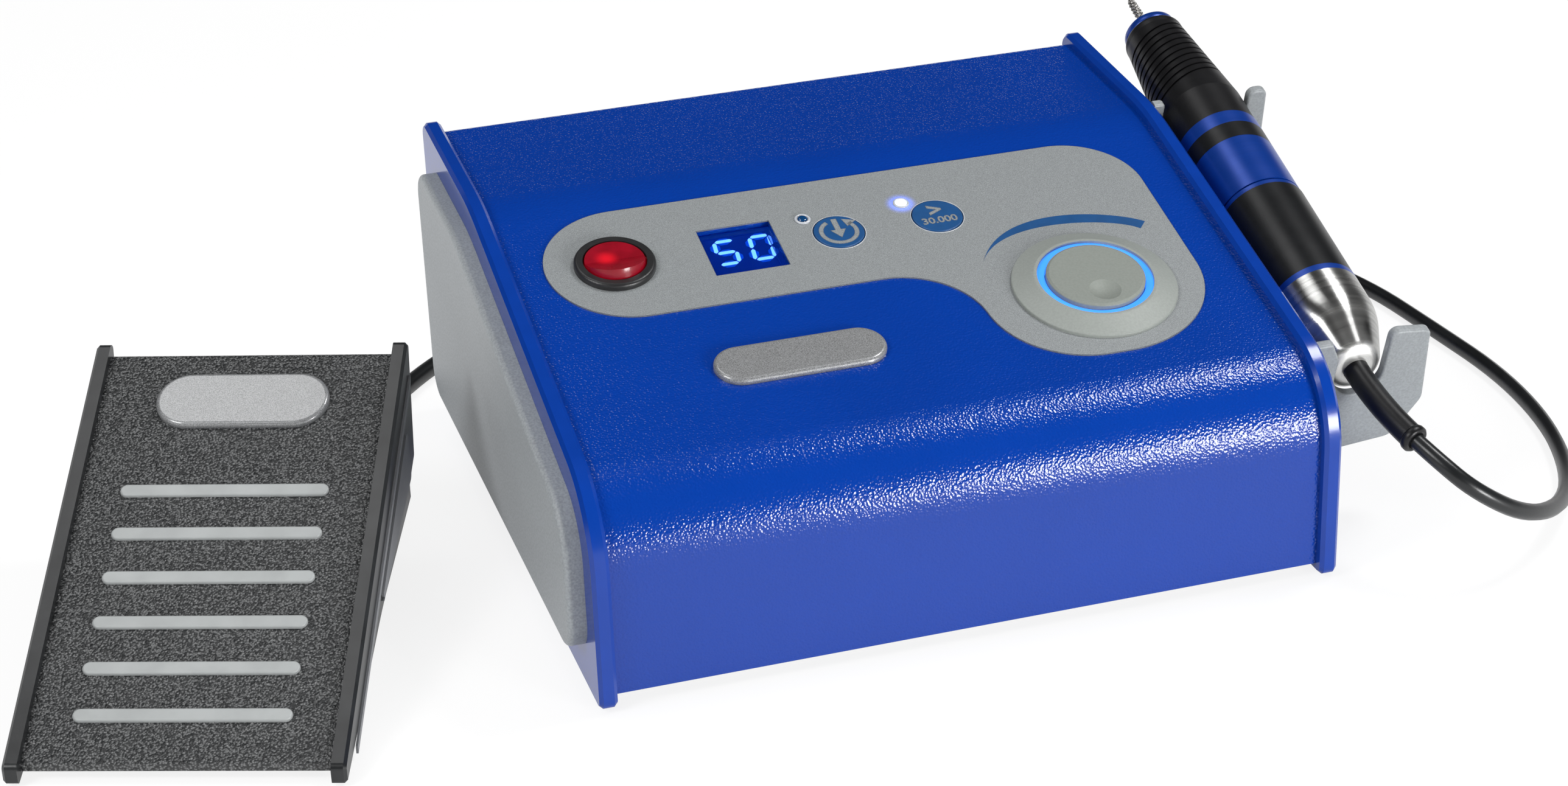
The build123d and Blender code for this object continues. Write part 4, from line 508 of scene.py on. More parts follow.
# %% Ready finishes
GLOSS_BLOB = 30
RING_STRETCH = (0.04, 0.04, 1)
SHADE_RINGS = 3
GLOSS_RINGS = 8
SMOOTHER = 0.8
ROUGHER = 1.25
QUARTER_TURN = 0.25


def shades(colour, amount):
    """A colour a little darker and a little lighter than the given one."""
    return [tuple(value * change for value in colour) for change in (1 - amount, 1 + amount)]


def worn_surface(name, colour, roughness, grain_mm, relief_mm, variation=0.06, gloss_spread=0.06,
                 blob=9, **more):
    """Moulded or sprayed surface: grain, slow changes of shade, and uneven gloss."""
    material = plain_surface(name, colour, roughness, **more)
    tree = material.node_tree
    colour_from(material, noise(tree, grain_mm * blob), *shades(colour, variation))
    gloss_from(material, noise(tree, grain_mm * GLOSS_BLOB), roughness - gloss_spread,
               roughness + gloss_spread)
    relief_from(material, noise(tree, grain_mm), relief_mm)
    return material


def turned_surface(name, colour, roughness, turn, ring_mm, relief_mm, variation=0.08, **more):
    """Turned metal: fine rings round the axis that the turn lays along Z."""
    material = plain_surface(name, colour, roughness, **more)
    tree = material.node_tree
    along = texture_place(tree, turn=turn, stretch=RING_STRETCH)
    colour_from(material, noise(tree, ring_mm * SHADE_RINGS, along), *shades(colour, variation))
    gloss_from(material, noise(tree, ring_mm * GLOSS_RINGS, along), roughness * SMOOTHER,
               roughness * ROUGHER)
    relief_from(material, noise(tree, ring_mm, along), relief_mm)
    return material


def brushed_round(material, axis, amount):
    """Stretches the highlights along an axis, as fine rings turned round that axis do."""
    tree = material.node_tree
    shader = tree.nodes["Principled BSDF"]
    shader.inputs["Anisotropic"].default_value = amount
    shader.inputs["Anisotropic Rotation"].default_value = QUARTER_TURN
    across = tree.nodes.new("ShaderNodeVectorMath")
    across.operation = "CROSS_PRODUCT"
    across.inputs[1].default_value = axis
    tree.links.new(tree.nodes.new("ShaderNodeNewGeometry").outputs["Normal"], across.inputs[0])
    tree.links.new(across.outputs["Vector"], shader.inputs["Tangent"])


def dress(material, *names):
    """Gives CAD nodes, or pieces of this scene, one material."""
    for name in names:
        piece = nodes.get(name) or bpy.data.objects[name]
        piece.data.materials.clear()
        piece.data.materials.append(material)


print("finishes: moulded or sprayed, turned, brushed round")

# %% [markdown]
# The folded cover is steel sheet with a pebbled powder coat. Its pebbles are under a millimetre
# across and catch the soft boxes as two sparkling bands. Rounded cells give pebbles with narrow
# valleys. The cheeks are smoother moulded plastic in the same blue.

# %% Blue sheet and blue cheeks
BLUE = (0.0009, 0.036, 0.285)
PEBBLE_MM = 0.68

blue_sheet = plain_surface("blue_pebbled_sheet", BLUE, roughness=0.16, specular=0.5)
tree = blue_sheet.node_tree
colour_from(blue_sheet, noise(tree, size_mm=40), *shades(BLUE, amount=0.025))
gloss_from(blue_sheet, noise(tree, size_mm=3), low=0.13, high=0.18)
relief_from(blue_sheet, cells(tree, PEBBLE_MM), depth_mm=0.12)
blue_cheek = worn_surface("blue_moulded_cheek", (0.0015, 0.037, 0.285), roughness=0.18,
                          grain_mm=0.8, relief_mm=0.006, variation=0.03, gloss_spread=0.03,
                          specular=0.45)
dress(blue_sheet, "top_cover")
dress(blue_cheek, "left_cheek", "right_cheek")
print("blue sheet and cheeks")

# %% [markdown]
# The grey pieces are moulded with a fine spark-eroded grain. The foil is printed with a metallic grey
# ink whose flakes glitter a little. A thin dark line round its edge is painted shade, for the shadow
# in the groove round it, and round the lit lamp a painted pool of blue light glows in the foil.
# The knob and its collar are a warmer, matt grey with a soft-touch feel.

# %% Grey plastics, foil and knob
side_grey = worn_surface("side_panel_grey", (0.31, 0.332, 0.348), roughness=0.46, grain_mm=0.45,
                         relief_mm=0.03, variation=0.14, gloss_spread=0.02, blob=1.4)
holder_grey = worn_surface("holder_grey", (0.25, 0.268, 0.279), roughness=0.42, grain_mm=0.5,
                           relief_mm=0.03, variation=0.10, gloss_spread=0.02, blob=1.4)
soft_grey = worn_surface("soft_touch_grey", (0.205, 0.224, 0.203), roughness=0.55, grain_mm=0.4,
                         relief_mm=0.008, variation=0.05, gloss_spread=0.02, blob=1.5)
collar_grey = worn_surface("collar_grey", (0.25, 0.27, 0.253), roughness=0.5, grain_mm=0.4,
                           relief_mm=0.008, variation=0.05, gloss_spread=0.02, blob=1.5)
LIT_LAMP = (15.7, 102.8, 84.6)
FOIL_GREY = (0.275, 0.293, 0.300)
foil_grey = plain_surface("metallic_ink_foil", FOIL_GREY, roughness=0.42, metallic=0.25)
tree = foil_grey.node_tree
colour_from(foil_grey, noise(tree, size_mm=0.22, detail=1.0), *shades(FOIL_GREY, amount=0.30),
            low=0.3, high=0.7)
gloss_from(foil_grey, noise(tree, size_mm=0.5), low=0.34, high=0.5)
relief_from(foil_grey, noise(tree, size_mm=0.4), depth_mm=0.008)
# Painted shade: a thin dark line along the foil's cut edge, for the shadow in the groove round it.
edge_line(foil_grey, width_mm=0.3, colour=(0.02, 0.03, 0.06))
# Painted light: a pool of blue light from the lit lamp, painted as the foil's own glow round it.
glow_from(foil_grey, near(tree, place(*LIT_LAMP), radius_mm=5.5), colour=(0.06, 0.16, 1.0), low=0.0,
          high=2.0)
dress(side_grey, "left_side_panel")
dress(holder_grey, "handpiece_holder")
dress(soft_grey, "speed_knob")
dress(collar_grey, "knob_bezel")
dress(foil_grey, "control_foil")
print("grey pieces and foil")

# %% [markdown]
# The pedal's tread has a coarse leather grain, pressed into black plastic, that shows as bright
# little ridges. Folded cells with a little swirl make such wrinkles, and the same cells paint its
# colour light and dark: painted glints for those bright ridges, with painted shade between them. Its
# cheeks are satin black with fine scratches along them, and the strips are light grey and slightly
# hammered.

# %% Pedal surfaces
TREAD_BLACK = (0.028, 0.030, 0.031)
GRAIN_MM = 0.62
SWIRL_MM = 0.5
SCRATCH_STRETCH = (1, 0.03, 1)

tread_black = plain_surface("black_leather_grain_and_glints", TREAD_BLACK, roughness=0.33, specular=0.62)
tree = tread_black.node_tree
swirl = tree.nodes.new("ShaderNodeTexNoise")
swirl.inputs["Scale"].default_value = 1 / (GRAIN_MM * MM)
tree.links.new(texture_place(tree), swirl.inputs["Vector"])
bent = tree.nodes.new("ShaderNodeVectorMath")
bent.operation = "MULTIPLY_ADD"
bent.inputs[1].default_value = (SWIRL_MM * MM, SWIRL_MM * MM, SWIRL_MM * MM)
tree.links.new(swirl.outputs["Color"], bent.inputs[0])
tree.links.new(texture_place(tree), bent.inputs[2])
wrinkles_and_glints = cells(tree, GRAIN_MM, bent.outputs[0])
# Painted glints with painted shade between: light specks where the wrinkle pattern is low, near black
# where it is high.
colour_from(tread_black, wrinkles_and_glints, dark=(0.19, 0.194, 0.196), light=(0.010, 0.011, 0.012), low=0.08,
            high=0.56)
gloss_from(tread_black, noise(tree, size_mm=16), low=0.22, high=0.40)
relief_from(tread_black, wrinkles_and_glints, depth_mm=0.34)
cheek_black = worn_surface("satin_black", (0.011, 0.012, 0.013), roughness=0.32, grain_mm=0.8,
                           relief_mm=0.012, variation=0.25)
along_cheek = texture_place(cheek_black.node_tree, stretch=SCRATCH_STRETCH)
scratches = noise(cheek_black.node_tree, size_mm=1.5, where=along_cheek)
relief_from(cheek_black, scratches, depth_mm=0.01)
strip_grey = worn_surface("strip_grey", (0.33, 0.345, 0.345), roughness=0.4, grain_mm=1.0,
                          relief_mm=0.03, variation=0.06)
inlay_grey = worn_surface("inlay_grey", (0.15, 0.155, 0.165), roughness=0.42, grain_mm=0.6,
                          relief_mm=0.02, variation=0.05)
dress(tread_black, "pedal_plate", "pedal_base")
dress(cheek_black, "pedal_left_cheek", "pedal_right_cheek")
dress(strip_grey, "tread_strips")
dress(inlay_grey, "pedal_inlays")
print("pedal dressed")

# %% [markdown]
# The handpiece is turned on a lathe, and it shows: the anodised rings and the polished cap carry very
# fine rings round their axis, which draw the highlights out into lines along it. The axis leans, so
# the pattern is turned until the axis lies along Z, and then squeezed across it.

# %% Handpiece surfaces
HAND_PITCH = math.radians(18.8)
HAND_AXIS = (0, -math.cos(HAND_PITCH), math.sin(HAND_PITCH))
ALONG_HANDPIECE = (math.pi / 2 - HAND_PITCH, 0, 0)

anodised_blue = turned_surface("anodised_blue", (0.002, 0.04, 0.28), roughness=0.30,
                               turn=ALONG_HANDPIECE, ring_mm=0.25, relief_mm=0.0015, variation=0.04,
                               metallic=0.35)
polished_steel = turned_surface("polished_steel", (0.50, 0.50, 0.49), roughness=0.26,
                                turn=ALONG_HANDPIECE, ring_mm=0.3, relief_mm=0.002, variation=0.14,
                                metallic=1.0)
brushed_round(polished_steel, HAND_AXIS, amount=0.85)
sleeve_black = worn_surface("sleeve_black", (0.007, 0.0075, 0.0085), roughness=0.34, grain_mm=0.5,
                            relief_mm=0.012, variation=0.15, specular=0.3)
rubber_black = worn_surface("grip_rubber", (0.006, 0.006, 0.007), roughness=0.38, grain_mm=0.4,
                            relief_mm=0.02, variation=0.15, specular=0.35)
cable_black = worn_surface("cable_black", (0.010, 0.011, 0.012), roughness=0.32, grain_mm=0.8,
                           relief_mm=0.02, variation=0.15)
bare_steel = turned_surface("bare_steel", (0.55, 0.55, 0.56), roughness=0.28, turn=ALONG_HANDPIECE,
                            ring_mm=0.4, relief_mm=0.01, metallic=1.0)
dress(anodised_blue, "front_band", "chuck_ring", "thin_ring", "nose_collar")
dress(polished_steel, "tail_cap")
dress(sleeve_black, "motor_sleeve", "marking_band")
dress(rubber_black, "grip_sleeve", "cable_boot")
dress(cable_black, "handpiece_cord", "pedal_cord", "handpiece_plug", "pedal_plug", "cable_gland")
dress(bare_steel, "spindle_shaft", "collet", "spindle_bearings", "hinge_pin")
print("handpiece dressed")

# %% [markdown]
# The small pieces each have their own stuff: a red see-through rocker in a black grained bezel, dark
# blue foil keys, silver speckled badges under a clear dome of resin, and rubber feet. Inside the
# closed housing are zinc-plated sheet, a green board and copper winding.

# %% Small pieces and the inside
KEY_BLUE = (0.003, 0.062, 0.20)
ROCKER_LAMP = (-73.2, 95.0, 86.4)

rocker_red = worn_surface("rocker_red", (0.20, 0.001, 0.010), roughness=0.24, grain_mm=0.5,
                          relief_mm=0.012, variation=0.15)
glow_from(rocker_red, near(rocker_red.node_tree, place(*ROCKER_LAMP), radius_mm=5.0),
          colour=(1.0, 0.012, 0.02), low=0.05, high=0.75)
bezel_black = worn_surface("bezel_black", (0.016, 0.016, 0.017), roughness=0.36, grain_mm=0.45,
                           relief_mm=0.03, variation=0.15)
key_blue = worn_surface("key_blue", KEY_BLUE, roughness=0.4, grain_mm=0.4, relief_mm=0.008,
                        variation=0.06)
BADGE_SILVER = (0.25, 0.255, 0.26)
badge_silver = plain_surface("domed_silver_badge", BADGE_SILVER, roughness=0.42, metallic=0.3,
                             coat=1.0, coat_roughness=0.04)
tree = badge_silver.node_tree
colour_from(badge_silver, noise(tree, size_mm=0.28, detail=1.0), *shades(BADGE_SILVER, amount=0.4),
            low=0.3, high=0.7)
relief_from(badge_silver, noise(tree, size_mm=0.4), depth_mm=0.006)
# Painted shade: a dark rim along the badge's edge, for the dark seen through the dome's steep edge.
edge_line(badge_silver, width_mm=0.7, colour=(0.05, 0.055, 0.07))
board_green = worn_surface("board_green", (0.01, 0.12, 0.05), roughness=0.35, grain_mm=0.8,
                           relief_mm=0.02, variation=0.15)
zinc_sheet = worn_surface("zinc_sheet", (0.42, 0.43, 0.44), roughness=0.38, grain_mm=3.0,
                          relief_mm=0.01, variation=0.12, metallic=0.9)
copper = turned_surface("copper_winding", (0.62, 0.26, 0.12), roughness=0.32, turn=ALONG_HANDPIECE,
                        ring_mm=0.6, relief_mm=0.05, metallic=1.0)
foot_rubber = worn_surface("foot_rubber", (0.02, 0.02, 0.02), roughness=0.7, grain_mm=0.6,
                           relief_mm=0.03, variation=0.2)
socket_black = worn_surface("socket_black", (0.02, 0.02, 0.021), roughness=0.45, grain_mm=0.6,
                            relief_mm=0.02, variation=0.12)
dress(rocker_red, "rocker_button")
dress(bezel_black, "rocker_bezel")
dress(key_blue, "direction_button", "limit_button")
dress(badge_silver, "unit_badge", "pedal_badge")
dress(board_green, "main_board")
dress(zinc_sheet, "base_plate", "rear_panel", "potentiometer")
dress(copper, "transformer", "motor_stator")
dress(foot_rubber, "rubber_feet", "pedal_feet")
dress(socket_black, "mains_inlet", "rear_sockets")
print("small pieces dressed")

# %% [markdown]
# Four things give light: the ring round the knob, the digits, one indicator lamp and the haze round
# the digits. A shader's emission does this without adding a lamp, so the level of the studio light
# stays as it is. The window in front of the digits is blue tinted glass.

# %% Lit surfaces and glass
def lit_surface(name, colour, glow_colour, strength, roughness=0.3):
    """Surface that also gives light of its own."""
    material = worn_surface(name, colour, roughness, grain_mm=0.6, relief_mm=0.004, variation=0.05)
    shader = material.node_tree.nodes["Principled BSDF"]
    shader.inputs["Emission Color"].default_value = (*glow_colour, 1)
    shader.inputs["Emission Strength"].default_value = strength
    return material


def glass(name, colour, roughness):
    """Clear tinted plastic."""
    material = plain_surface(name, colour, roughness)
    shader = material.node_tree.nodes["Principled BSDF"]
    shader.inputs["Transmission Weight"].default_value = 1.0
    shader.inputs["IOR"].default_value = 1.2
    relief_from(material, noise(material.node_tree, size_mm=6), depth_mm=0.004)
    return material


ring_glow = lit_surface("knob_ring_glow", (0.05, 0.25, 0.9), glow_colour=(0.03, 0.2, 1.0),
                        strength=1.1, roughness=0.15)
digit_glow = lit_surface("digit_glow", (0.4, 0.6, 1.0), glow_colour=(0.30, 0.56, 1.0), strength=2.2)
haze_glow = lit_surface("digit_haze", (0.0, 0.05, 0.3), glow_colour=(0.002, 0.11, 0.62),
                        strength=0.75)
display_blue = lit_surface("display_blue", (0.001, 0.02, 0.12), glow_colour=(0.0, 0.035, 0.28),
                           strength=0.55)
lamp_white = lit_surface("lamp_lit", (0.8, 0.9, 1.0), glow_colour=(0.62, 0.78, 1.0), strength=5.0)
lamp_dark = worn_surface("lamp_unlit", (0.004, 0.05, 0.16), roughness=0.12, grain_mm=0.8,
                         relief_mm=0.01, variation=0.2, coat=1.0)
window_glass = glass("display_window_glass", (0.35, 0.55, 1.0), roughness=0.04)
dress(ring_glow, "light_ring")
dress(display_blue, "display_module")
dress(window_glass, "display_window")
dress(lamp_white, "limit_lamp")
dress(lamp_dark, "direction_lamp")
print("controls dressed")

# %% [markdown]
# The signs lie on the leaning foil, on its keys and in the display. One small function leads from
# places on that slope, in millimetres across, up and out, to the frame. A sign is then a thin slab
# from a flat outline, and a rim is a profile turned about the slope's normal.

# %% Places on the slope, slabs and turned pieces
SLOPE_ANGLE = math.radians(14.39)
SLOPE_START = 57.77
FOIL_TOP = 0.4


def on_slope(x, up, rise=0.0):
    """Place on the unit's slope, above the sheet by a rise."""
    return place(x, up * math.cos(SLOPE_ANGLE) - rise * math.sin(SLOPE_ANGLE),
                 SLOPE_START + up * math.sin(SLOPE_ANGLE) + rise * math.cos(SLOPE_ANGLE))


def new_piece(name, mesh, material, body):
    """Object in the scene that rides on a body."""
    piece = bpy.data.objects.new(name, mesh)
    bpy.context.scene.collection.objects.link(piece)
    piece.data.materials.append(material)
    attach(piece, body)
    return piece


def finished_mesh(name, shape, smooth):
    """Mesh from a shape whose faces are all there, turned outwards and shaded smooth or flat."""
    bmesh.ops.recalc_face_normals(shape, faces=shape.faces)
    for face in shape.faces:
        face.smooth = smooth
    mesh = bpy.data.meshes.new(name)
    shape.to_mesh(mesh)
    shape.free()
    return mesh


def slabs(name, outlines, lay, low, high, material, body):
    """Flat outlines of (x, y) corners, laid on a surface and given a thickness."""
    shape = bmesh.new()
    for outline in outlines:
        under = [shape.verts.new(lay(x, y, low)) for x, y in outline]
        over = [shape.verts.new(lay(x, y, high)) for x, y in outline]
        shape.faces.new(over)
        shape.faces.new(under[::-1])
        for number in range(len(outline)):
            following = (number + 1) % len(outline)
            shape.faces.new([under[number], under[following], over[following], over[number]])
    return new_piece(name, finished_mesh(name, shape, smooth=False), material, body)


def turned_piece(name, profile, lay, material, body, segments=72):
    """Ring or disc about a surface's normal, from a profile of (radius, rise)."""
    shape = bmesh.new()
    rows = []
    for number in range(segments):
        angle = 2 * math.pi * number / segments
        rows.append([shape.verts.new(lay(radius * math.cos(angle), radius * math.sin(angle), rise))
                     for radius, rise in profile])
    count = len(profile)
    for number, row in enumerate(rows):
        following = rows[(number + 1) % segments]
        for step in range(count):
            after = (step + 1) % count
            shape.faces.new([row[step], following[step], following[after], row[after]])
    return new_piece(name, finished_mesh(name, shape, smooth=True), material, body)


print("slope place:", [round(value, 4) for value in on_slope(0, 0)])

# %% [markdown]
# A seven-segment display draws each digit from up to seven bars with pointed ends, and the whole
# digit leans a little. The bars are worked out from the digit's width and height, so one table of
# lit bars is enough for both digits. A wider, darker copy under them makes the haze.

# %% Digits in the display
DISPLAY_X = -33.0
DISPLAY_Y = 97.2
DIGIT_WIDTH = 5.7
DIGIT_HEIGHT = 10.3
DIGIT_LEAN = 0.10
DIGIT_SPREAD = 5.2
DIGIT_RISE = 2.2
BAR_WIDTH = 1.15
HAZE_WIDTH = 2.9
TRAY_LEVEL = -2.6
BAR_GAP = 0.34
BAR_THICK = 0.2
HAZE_THICK = 0.08
BARS = {
    "top": ((0, 1), (1, 1)), "upper_right": ((1, 1), (1, 0)), "lower_right": ((1, 0), (1, -1)),
    "bottom": ((0, -1), (1, -1)), "lower_left": ((0, 0), (0, -1)), "upper_left": ((0, 1), (0, 0)),
    "middle": ((0, 0), (1, 0)),
}
LIT_BARS = [
    (-1, ("top", "upper_left", "middle", "lower_right", "bottom")),
    (1, ("top", "upper_right", "lower_right", "bottom", "lower_left", "upper_left")),
]


def bar_outline(start, stop, width):
    """Six corners of one bar between two corners of the digit's frame."""
    along = (stop - start).normalized()
    across = Vector((-along.y, along.x)) * width / 2
    first, last = start + along * BAR_GAP, stop - along * BAR_GAP
    inner, outer = first + along * width / 2, last - along * width / 2
    return [first, inner - across, outer - across, last, outer + across, inner + across]


def lit_outlines(width):
    """Flat outlines of all lit bars, at their places across and up the slope."""
    outlines = []
    for side, bars in LIT_BARS:
        for bar in bars:
            ends = [Vector(((x - 0.5) * DIGIT_WIDTH, y * DIGIT_HEIGHT / 2)) for x, y in BARS[bar]]
            outline = bar_outline(*ends, width)
            outlines.append([(DISPLAY_X + side * DIGIT_SPREAD + x + y * DIGIT_LEAN,
                              DISPLAY_Y + DIGIT_RISE + y) for x, y in outline])
    return outlines


slabs("digit_haze", lit_outlines(HAZE_WIDTH), on_slope, TRAY_LEVEL, TRAY_LEVEL + HAZE_THICK, haze_glow,
      "console")
slabs("digits", lit_outlines(BAR_WIDTH), on_slope, TRAY_LEVEL, TRAY_LEVEL + BAR_THICK, digit_glow,
      "console")
print("two digits with", len(lit_outlines(BAR_WIDTH)), "lit bars")

# %% [markdown]
# The keys carry plain signs: an open ring with an arrowhead round a downward arrow, for the turning
# direction, and a larger-than sign with a round number of turns. They are printed in the foil's own
# grey, so they are drawn as slabs thinner than paint would be in relief, riding on the keys.

# %% Signs on the keys
KEY_TOP = 0.7
INK = 0.05
DIRECTION_KEY = (-5.7, 97.6)
LIMIT_KEY = (23.9, 98.0)
RING_RADIUS = 5.1
RING_STROKE = 1.35
RING_START = math.radians(117)
RING_STOP = math.radians(400)
RING_STEPS = 40
DOWN_ARROW = [(-0.85, 5.9), (-0.85, 0.9), (-2.3, 0.9), (0, -2.9), (2.3, 0.9), (0.85, 0.9), (0.85, 5.9)]
RING_ARROWHEAD = [(2.2, 5.5), (6.3, 4.0), (3.1, 1.8)]
LARGER_SIGN = [(-2.0, 5.2), (2.0, 3.2), (2.0, 2.4), (-2.0, 0.4), (-2.0, 1.7), (0.4, 2.8), (-2.0, 3.9)]
NUMBER_SIZE = 3.9
NUMBER_BOLDNESS = 0.12
NUMBER_PLACE = (0.0, -3.3)


def key_lay(key):
    """Function that lays corners on the slope from the middle of a key or a lamp."""
    return lambda x, y, rise: on_slope(key[0] + x, key[1] + y, rise)


ring_outline = []
for radius, steps in ((RING_RADIUS + RING_STROKE / 2, range(RING_STEPS + 1)),
                      (RING_RADIUS - RING_STROKE / 2, range(RING_STEPS, -1, -1))):
    for step in steps:
        angle = RING_START + (RING_STOP - RING_START) * step / RING_STEPS
        ring_outline.append((radius * math.cos(angle), radius * math.sin(angle)))
slabs("direction_sign", [ring_outline, DOWN_ARROW, RING_ARROWHEAD], key_lay(DIRECTION_KEY), KEY_TOP,
      KEY_TOP + INK, foil_grey, "direction_key")
slabs("limit_sign", [LARGER_SIGN], key_lay(LIMIT_KEY), KEY_TOP, KEY_TOP + INK, foil_grey,
      "limit_key")

text = bpy.data.curves.new("limit_number", "FONT")
text.body = "30.000"
text.size = NUMBER_SIZE * MM
text.offset = NUMBER_BOLDNESS * MM
text.extrude = INK / 2 * MM
text.align_x = "CENTER"
text_object = bpy.data.objects.new("limit_number_line", text)
bpy.context.scene.collection.objects.link(text_object)
number_mesh = bpy.data.meshes.new_from_object(text_object)
bpy.data.objects.remove(text_object)
number_place = key_lay(LIMIT_KEY)(*NUMBER_PLACE, KEY_TOP + INK / 2)
number_mesh.transform(Matrix.Translation(number_place) @ Matrix.Rotation(SLOPE_ANGLE, 4, "X"))
limit_number = new_piece("limit_number", number_mesh, foil_grey, "limit_key")
print("key number is", round(limit_number.dimensions.x / MM, 1), "mm wide")

# %% [markdown]
# Over the knob a dark blue wedge bends from a thin end to a thick one, as a sign for more speed. Its
# two edges are smooth lines through four points each, so that the taper is even.

# %% Speed wedge and thin rims on the foil
WEDGE_OUTER = [(29.4, 74.5), (46.6, 88.8), (66.8, 88.3), (81.0, 81.4)]
WEDGE_INNER = [(29.4, 74.5), (45.2, 85.3), (65.4, 84.7), (78.5, 78.5)]
WEDGE_STEPS = 30
DIRECTION_LAMP = (-14.0, 105.8)
LIMIT_LAMP = (15.7, 106.3)
KEY_RIM = dict(inner=7.53, outer=7.82, height=0.12)
LAMP_RIM = dict(inner=1.52, outer=2.35, height=0.55)


def smooth_through(corners, share):
    """Point at a share of the smooth line through four points."""
    time = share * (len(corners) - 1)
    total = Vector((0, 0))
    for number, corner in enumerate(corners):
        weight = 1.0
        for other in range(len(corners)):
            if other != number:
                weight *= (time - other) / (number - other)
        total += Vector(corner) * weight
    return tuple(total)


wedge = [smooth_through(WEDGE_OUTER, step / WEDGE_STEPS) for step in range(WEDGE_STEPS + 1)]
wedge += [smooth_through(WEDGE_INNER, 1 - step / WEDGE_STEPS) for step in range(WEDGE_STEPS)]
slabs("speed_wedge", [wedge], on_slope, FOIL_TOP, FOIL_TOP + INK, key_blue, "console")


def rim(name, spot, inner, outer, height):
    """Thin rounded rim on the foil, round a key or a lamp."""
    lift = height / 2
    profile = [(inner, FOIL_TOP), (outer, FOIL_TOP), (outer, FOIL_TOP + lift),
               ((inner + outer) / 2, FOIL_TOP + height), (inner, FOIL_TOP + lift)]
    return turned_piece(name, profile, key_lay(spot), rim_white, "console")


rim_white = worn_surface("rim_white", (0.46, 0.48, 0.51), roughness=0.25, grain_mm=0.5,
                         relief_mm=0.005, variation=0.05, coat=0.5)
rim("direction_key_rim", DIRECTION_KEY, **KEY_RIM)
rim("limit_key_rim", LIMIT_KEY, **KEY_RIM)
rim("direction_lamp_rim", DIRECTION_LAMP, **LAMP_RIM)
rim("limit_lamp_rim", LIMIT_LAMP, **LAMP_RIM)
print("wedge of", len(wedge), "corners, four rims")

# %% [markdown]
# The bur is a coarse carbide cutter: a thin shank, and a long rounded head with twisted flutes. A
# lathe shape whose radius also swells and shrinks round the axis, further along as it goes up, gives
# such flutes. It stays inside the plain CAD head, which it replaces.

# %% Shape of the bur
HAND_PLACE = (122.0, 80.0, 67.25)


def on_handpiece(across, down, station):
    """Place round the handpiece's axis, at a station that grows towards the bur."""
    return place(HAND_PLACE[0] + across,
                 HAND_PLACE[1] + station * math.cos(HAND_PITCH) + down * math.sin(HAND_PITCH),
                 HAND_PLACE[2] + station * math.sin(HAND_PITCH) - down * math.cos(HAND_PITCH))


BUR_PROFILE = [(94.0, 1.17), (101.6, 1.17), (103.5, 0.9), (105.0, 1.25), (106.6, 1.44), (109.0, 1.44),
               (112.0, 1.34), (113.8, 1.1), (114.4, 0.75), (114.6, 0.05)]
BUR_RINGS = 110
BUR_SIDES = 60
FLUTES = 6
FLUTE_SHARE = 0.3
FLUTE_TWIST = 0.62
FLUTE_FADE = 1.5
CROSS_CUT_PITCH = 1.3
CROSS_CUT_STARTS = 3
CROSS_CUT_SHARE = 0.105


def profile_radius(profile, station):
    """Radius between the listed stations."""
    for (low, low_radius), (high, high_radius) in zip(profile, profile[1:]):
        if station <= high:
            return low_radius + (high_radius - low_radius) * (station - low) / (high - low)
    return profile[-1][1]


def fluted_radius(station, angle):
    """Radius of the bur at a station and an angle, with its flutes and cross cuts."""
    radius = profile_radius(BUR_PROFILE, station)
    start, stop = BUR_PROFILE[2][0], BUR_PROFILE[-1][0]
    if station < start:
        return radius
    fade = min(1, (station - start), (stop - station) * FLUTE_FADE)
    flute = abs(math.sin(FLUTES / 2 * (angle + FLUTE_TWIST * (station - start))))
    cross = 0.5 + 0.5 * math.cos(2 * math.pi * station / CROSS_CUT_PITCH - angle * CROSS_CUT_STARTS)
    return radius * (1 - FLUTE_SHARE * fade * (1 - flute) - CROSS_CUT_SHARE * fade * cross)


print("bur of", BUR_PROFILE[-1][0] - BUR_PROFILE[0][0], "mm with", FLUTES, "flutes")

# %% [markdown]
# The mesh is a net of rings and sides, each point at the radius that the shape gives for it. It needs
# many of both, because a flute is only a few tenths of a millimetre wide.

# %% Bur with twisted flutes
bur_shape = bmesh.new()
bur_rows = []
for step in range(BUR_RINGS + 1):
    station = BUR_PROFILE[0][0] + (BUR_PROFILE[-1][0] - BUR_PROFILE[0][0]) * step / BUR_RINGS
    row = []
    for side in range(BUR_SIDES):
        angle = 2 * math.pi * side / BUR_SIDES
        radius = fluted_radius(station, angle)
        corner = on_handpiece(radius * math.cos(angle), radius * math.sin(angle), station)
        row.append(bur_shape.verts.new(corner))
    bur_rows.append(row)
for low, high in zip(bur_rows, bur_rows[1:]):
    for side in range(BUR_SIDES):
        after = (side + 1) % BUR_SIDES
        bur_shape.faces.new([low[side], low[after], high[after], high[side]])
bur_shape.faces.new(bur_rows[0])
bur_shape.faces.new(bur_rows[-1])
bur_mesh = finished_mesh("fluted_bur", bur_shape, smooth=True)
carbide = worn_surface("carbide", (0.30, 0.29, 0.28), roughness=0.28, grain_mm=0.3, relief_mm=0.01,
                       variation=0.35, metallic=1.0)
fluted_bur = new_piece("fluted_bur", bur_mesh, carbide, "spindle")
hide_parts("bur")
print("bur with", len(bur_mesh.polygons), "faces")

# %% [markdown]
# The tread rests on two small coil springs in wells of the base. CAD keeps each as a plain sleeve;
# here each is a round wire wound in a helix. A spring shortens when the tread goes down; these keep
# their length and ride on the console.

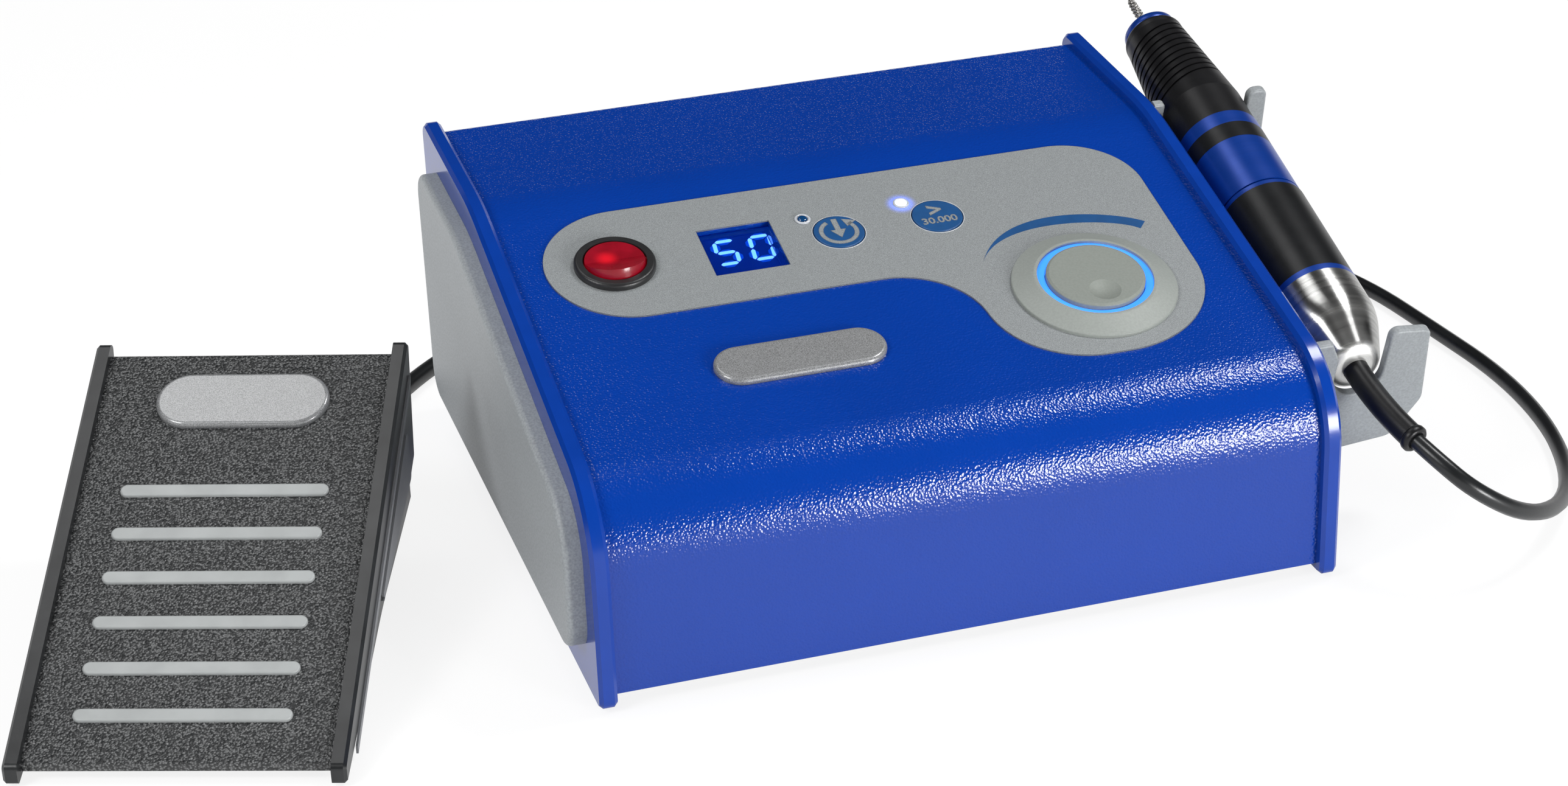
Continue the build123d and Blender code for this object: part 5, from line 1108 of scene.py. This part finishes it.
# %% Return springs
PEDAL_PLACE = (-213.75, 4.31)
PEDAL_TURN = math.radians(-20)
SPRING_SPOT = (20.0, 66.0)
SPRING_LOW = 14.351
SPRING_HIGH = 25.37
SPRING_MEAN = 4.4
SPRING_WIRE = 1.2
SPRING_TURNS = 4.5
SPRING_POINTS_PER_TURN = 12


def on_pedal(x, y, z):
    """Place in the pedal's own frame, which is turned on the bench."""
    return (PEDAL_PLACE[0] + x * math.cos(PEDAL_TURN) - y * math.sin(PEDAL_TURN),
            PEDAL_PLACE[1] + x * math.sin(PEDAL_TURN) + y * math.cos(PEDAL_TURN), z)


springs = []
for side in (-1, 1):
    wire = []
    count = int(SPRING_TURNS * SPRING_POINTS_PER_TURN)
    for step in range(count + 1):
        angle = 2 * math.pi * step / SPRING_POINTS_PER_TURN
        lift = SPRING_LOW + SPRING_WIRE / 2 + (SPRING_HIGH - SPRING_LOW - SPRING_WIRE) * step / count
        wire.append(on_pedal(side * SPRING_SPOT[0] + SPRING_MEAN * math.cos(angle),
                             SPRING_SPOT[1] + SPRING_MEAN * math.sin(angle), lift))
    spring = as_tube("return_spring_" + ("left" if side < 0 else "right"), wire, SPRING_WIRE / 2)[0]
    spring.data.materials.clear()
    spring.data.materials.append(bare_steel)
    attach(spring, "console")
    springs.append(spring)
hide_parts("return_springs")
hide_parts("return_springs")
for spring in springs:
    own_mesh(spring)
print("two springs of", SPRING_TURNS, "turns")

# %% [markdown]
# Two fine things finish the handpiece. The cable's boot ends in a rounded lip, and a blue flange
# shows in front of the grip, round the collar that holds the bur.

# %% Lip of the boot and flange at the nose
LIP_RADIUS = 4.05
LIP_LENGTH = 2.2
LIP_BORE = 2.45
LIP_EDGE = 0.3
LIP_FRONT = 0.35
LIP_ROUNDING = 0.5
LIP_BULGE = 0.7


def boot_lay():
    """Frame at the boot's end: its third direction runs along the cable."""
    along = HAND_HEADING.normalized()
    across = along.cross(Vector((0, 0, 1))).normalized()
    other = along.cross(across)
    origin = Vector(HAND_START)
    return lambda x, y, rise: place(*(origin + across * x + other * y + along * rise))


lip_profile = [(LIP_BORE, LIP_FRONT), (LIP_BORE, -LIP_EDGE), (LIP_RADIUS - LIP_EDGE, -LIP_LENGTH),
               (LIP_RADIUS, -LIP_LENGTH * LIP_BULGE), (LIP_RADIUS, -LIP_EDGE),
               (LIP_RADIUS - LIP_ROUNDING, LIP_FRONT)]
turned_piece("boot_lip", lip_profile, boot_lay(), rubber_black, "handpiece", segments=48)
FLANGE_RADIUS = 8.3
FLANGE_PROFILE = [(5.0, 94.9), (7.9, 94.9), (FLANGE_RADIUS, 95.4), (FLANGE_RADIUS, 97.4), (7.5, 98.3),
                  (5.0, 98.4)]
turned_piece("nose_flange", FLANGE_PROFILE, on_handpiece, anodised_blue, "handpiece",
             segments=64)
print("boot lip of", LIP_RADIUS * 2, "mm, nose flange of", 2 * FLANGE_RADIUS, "mm")
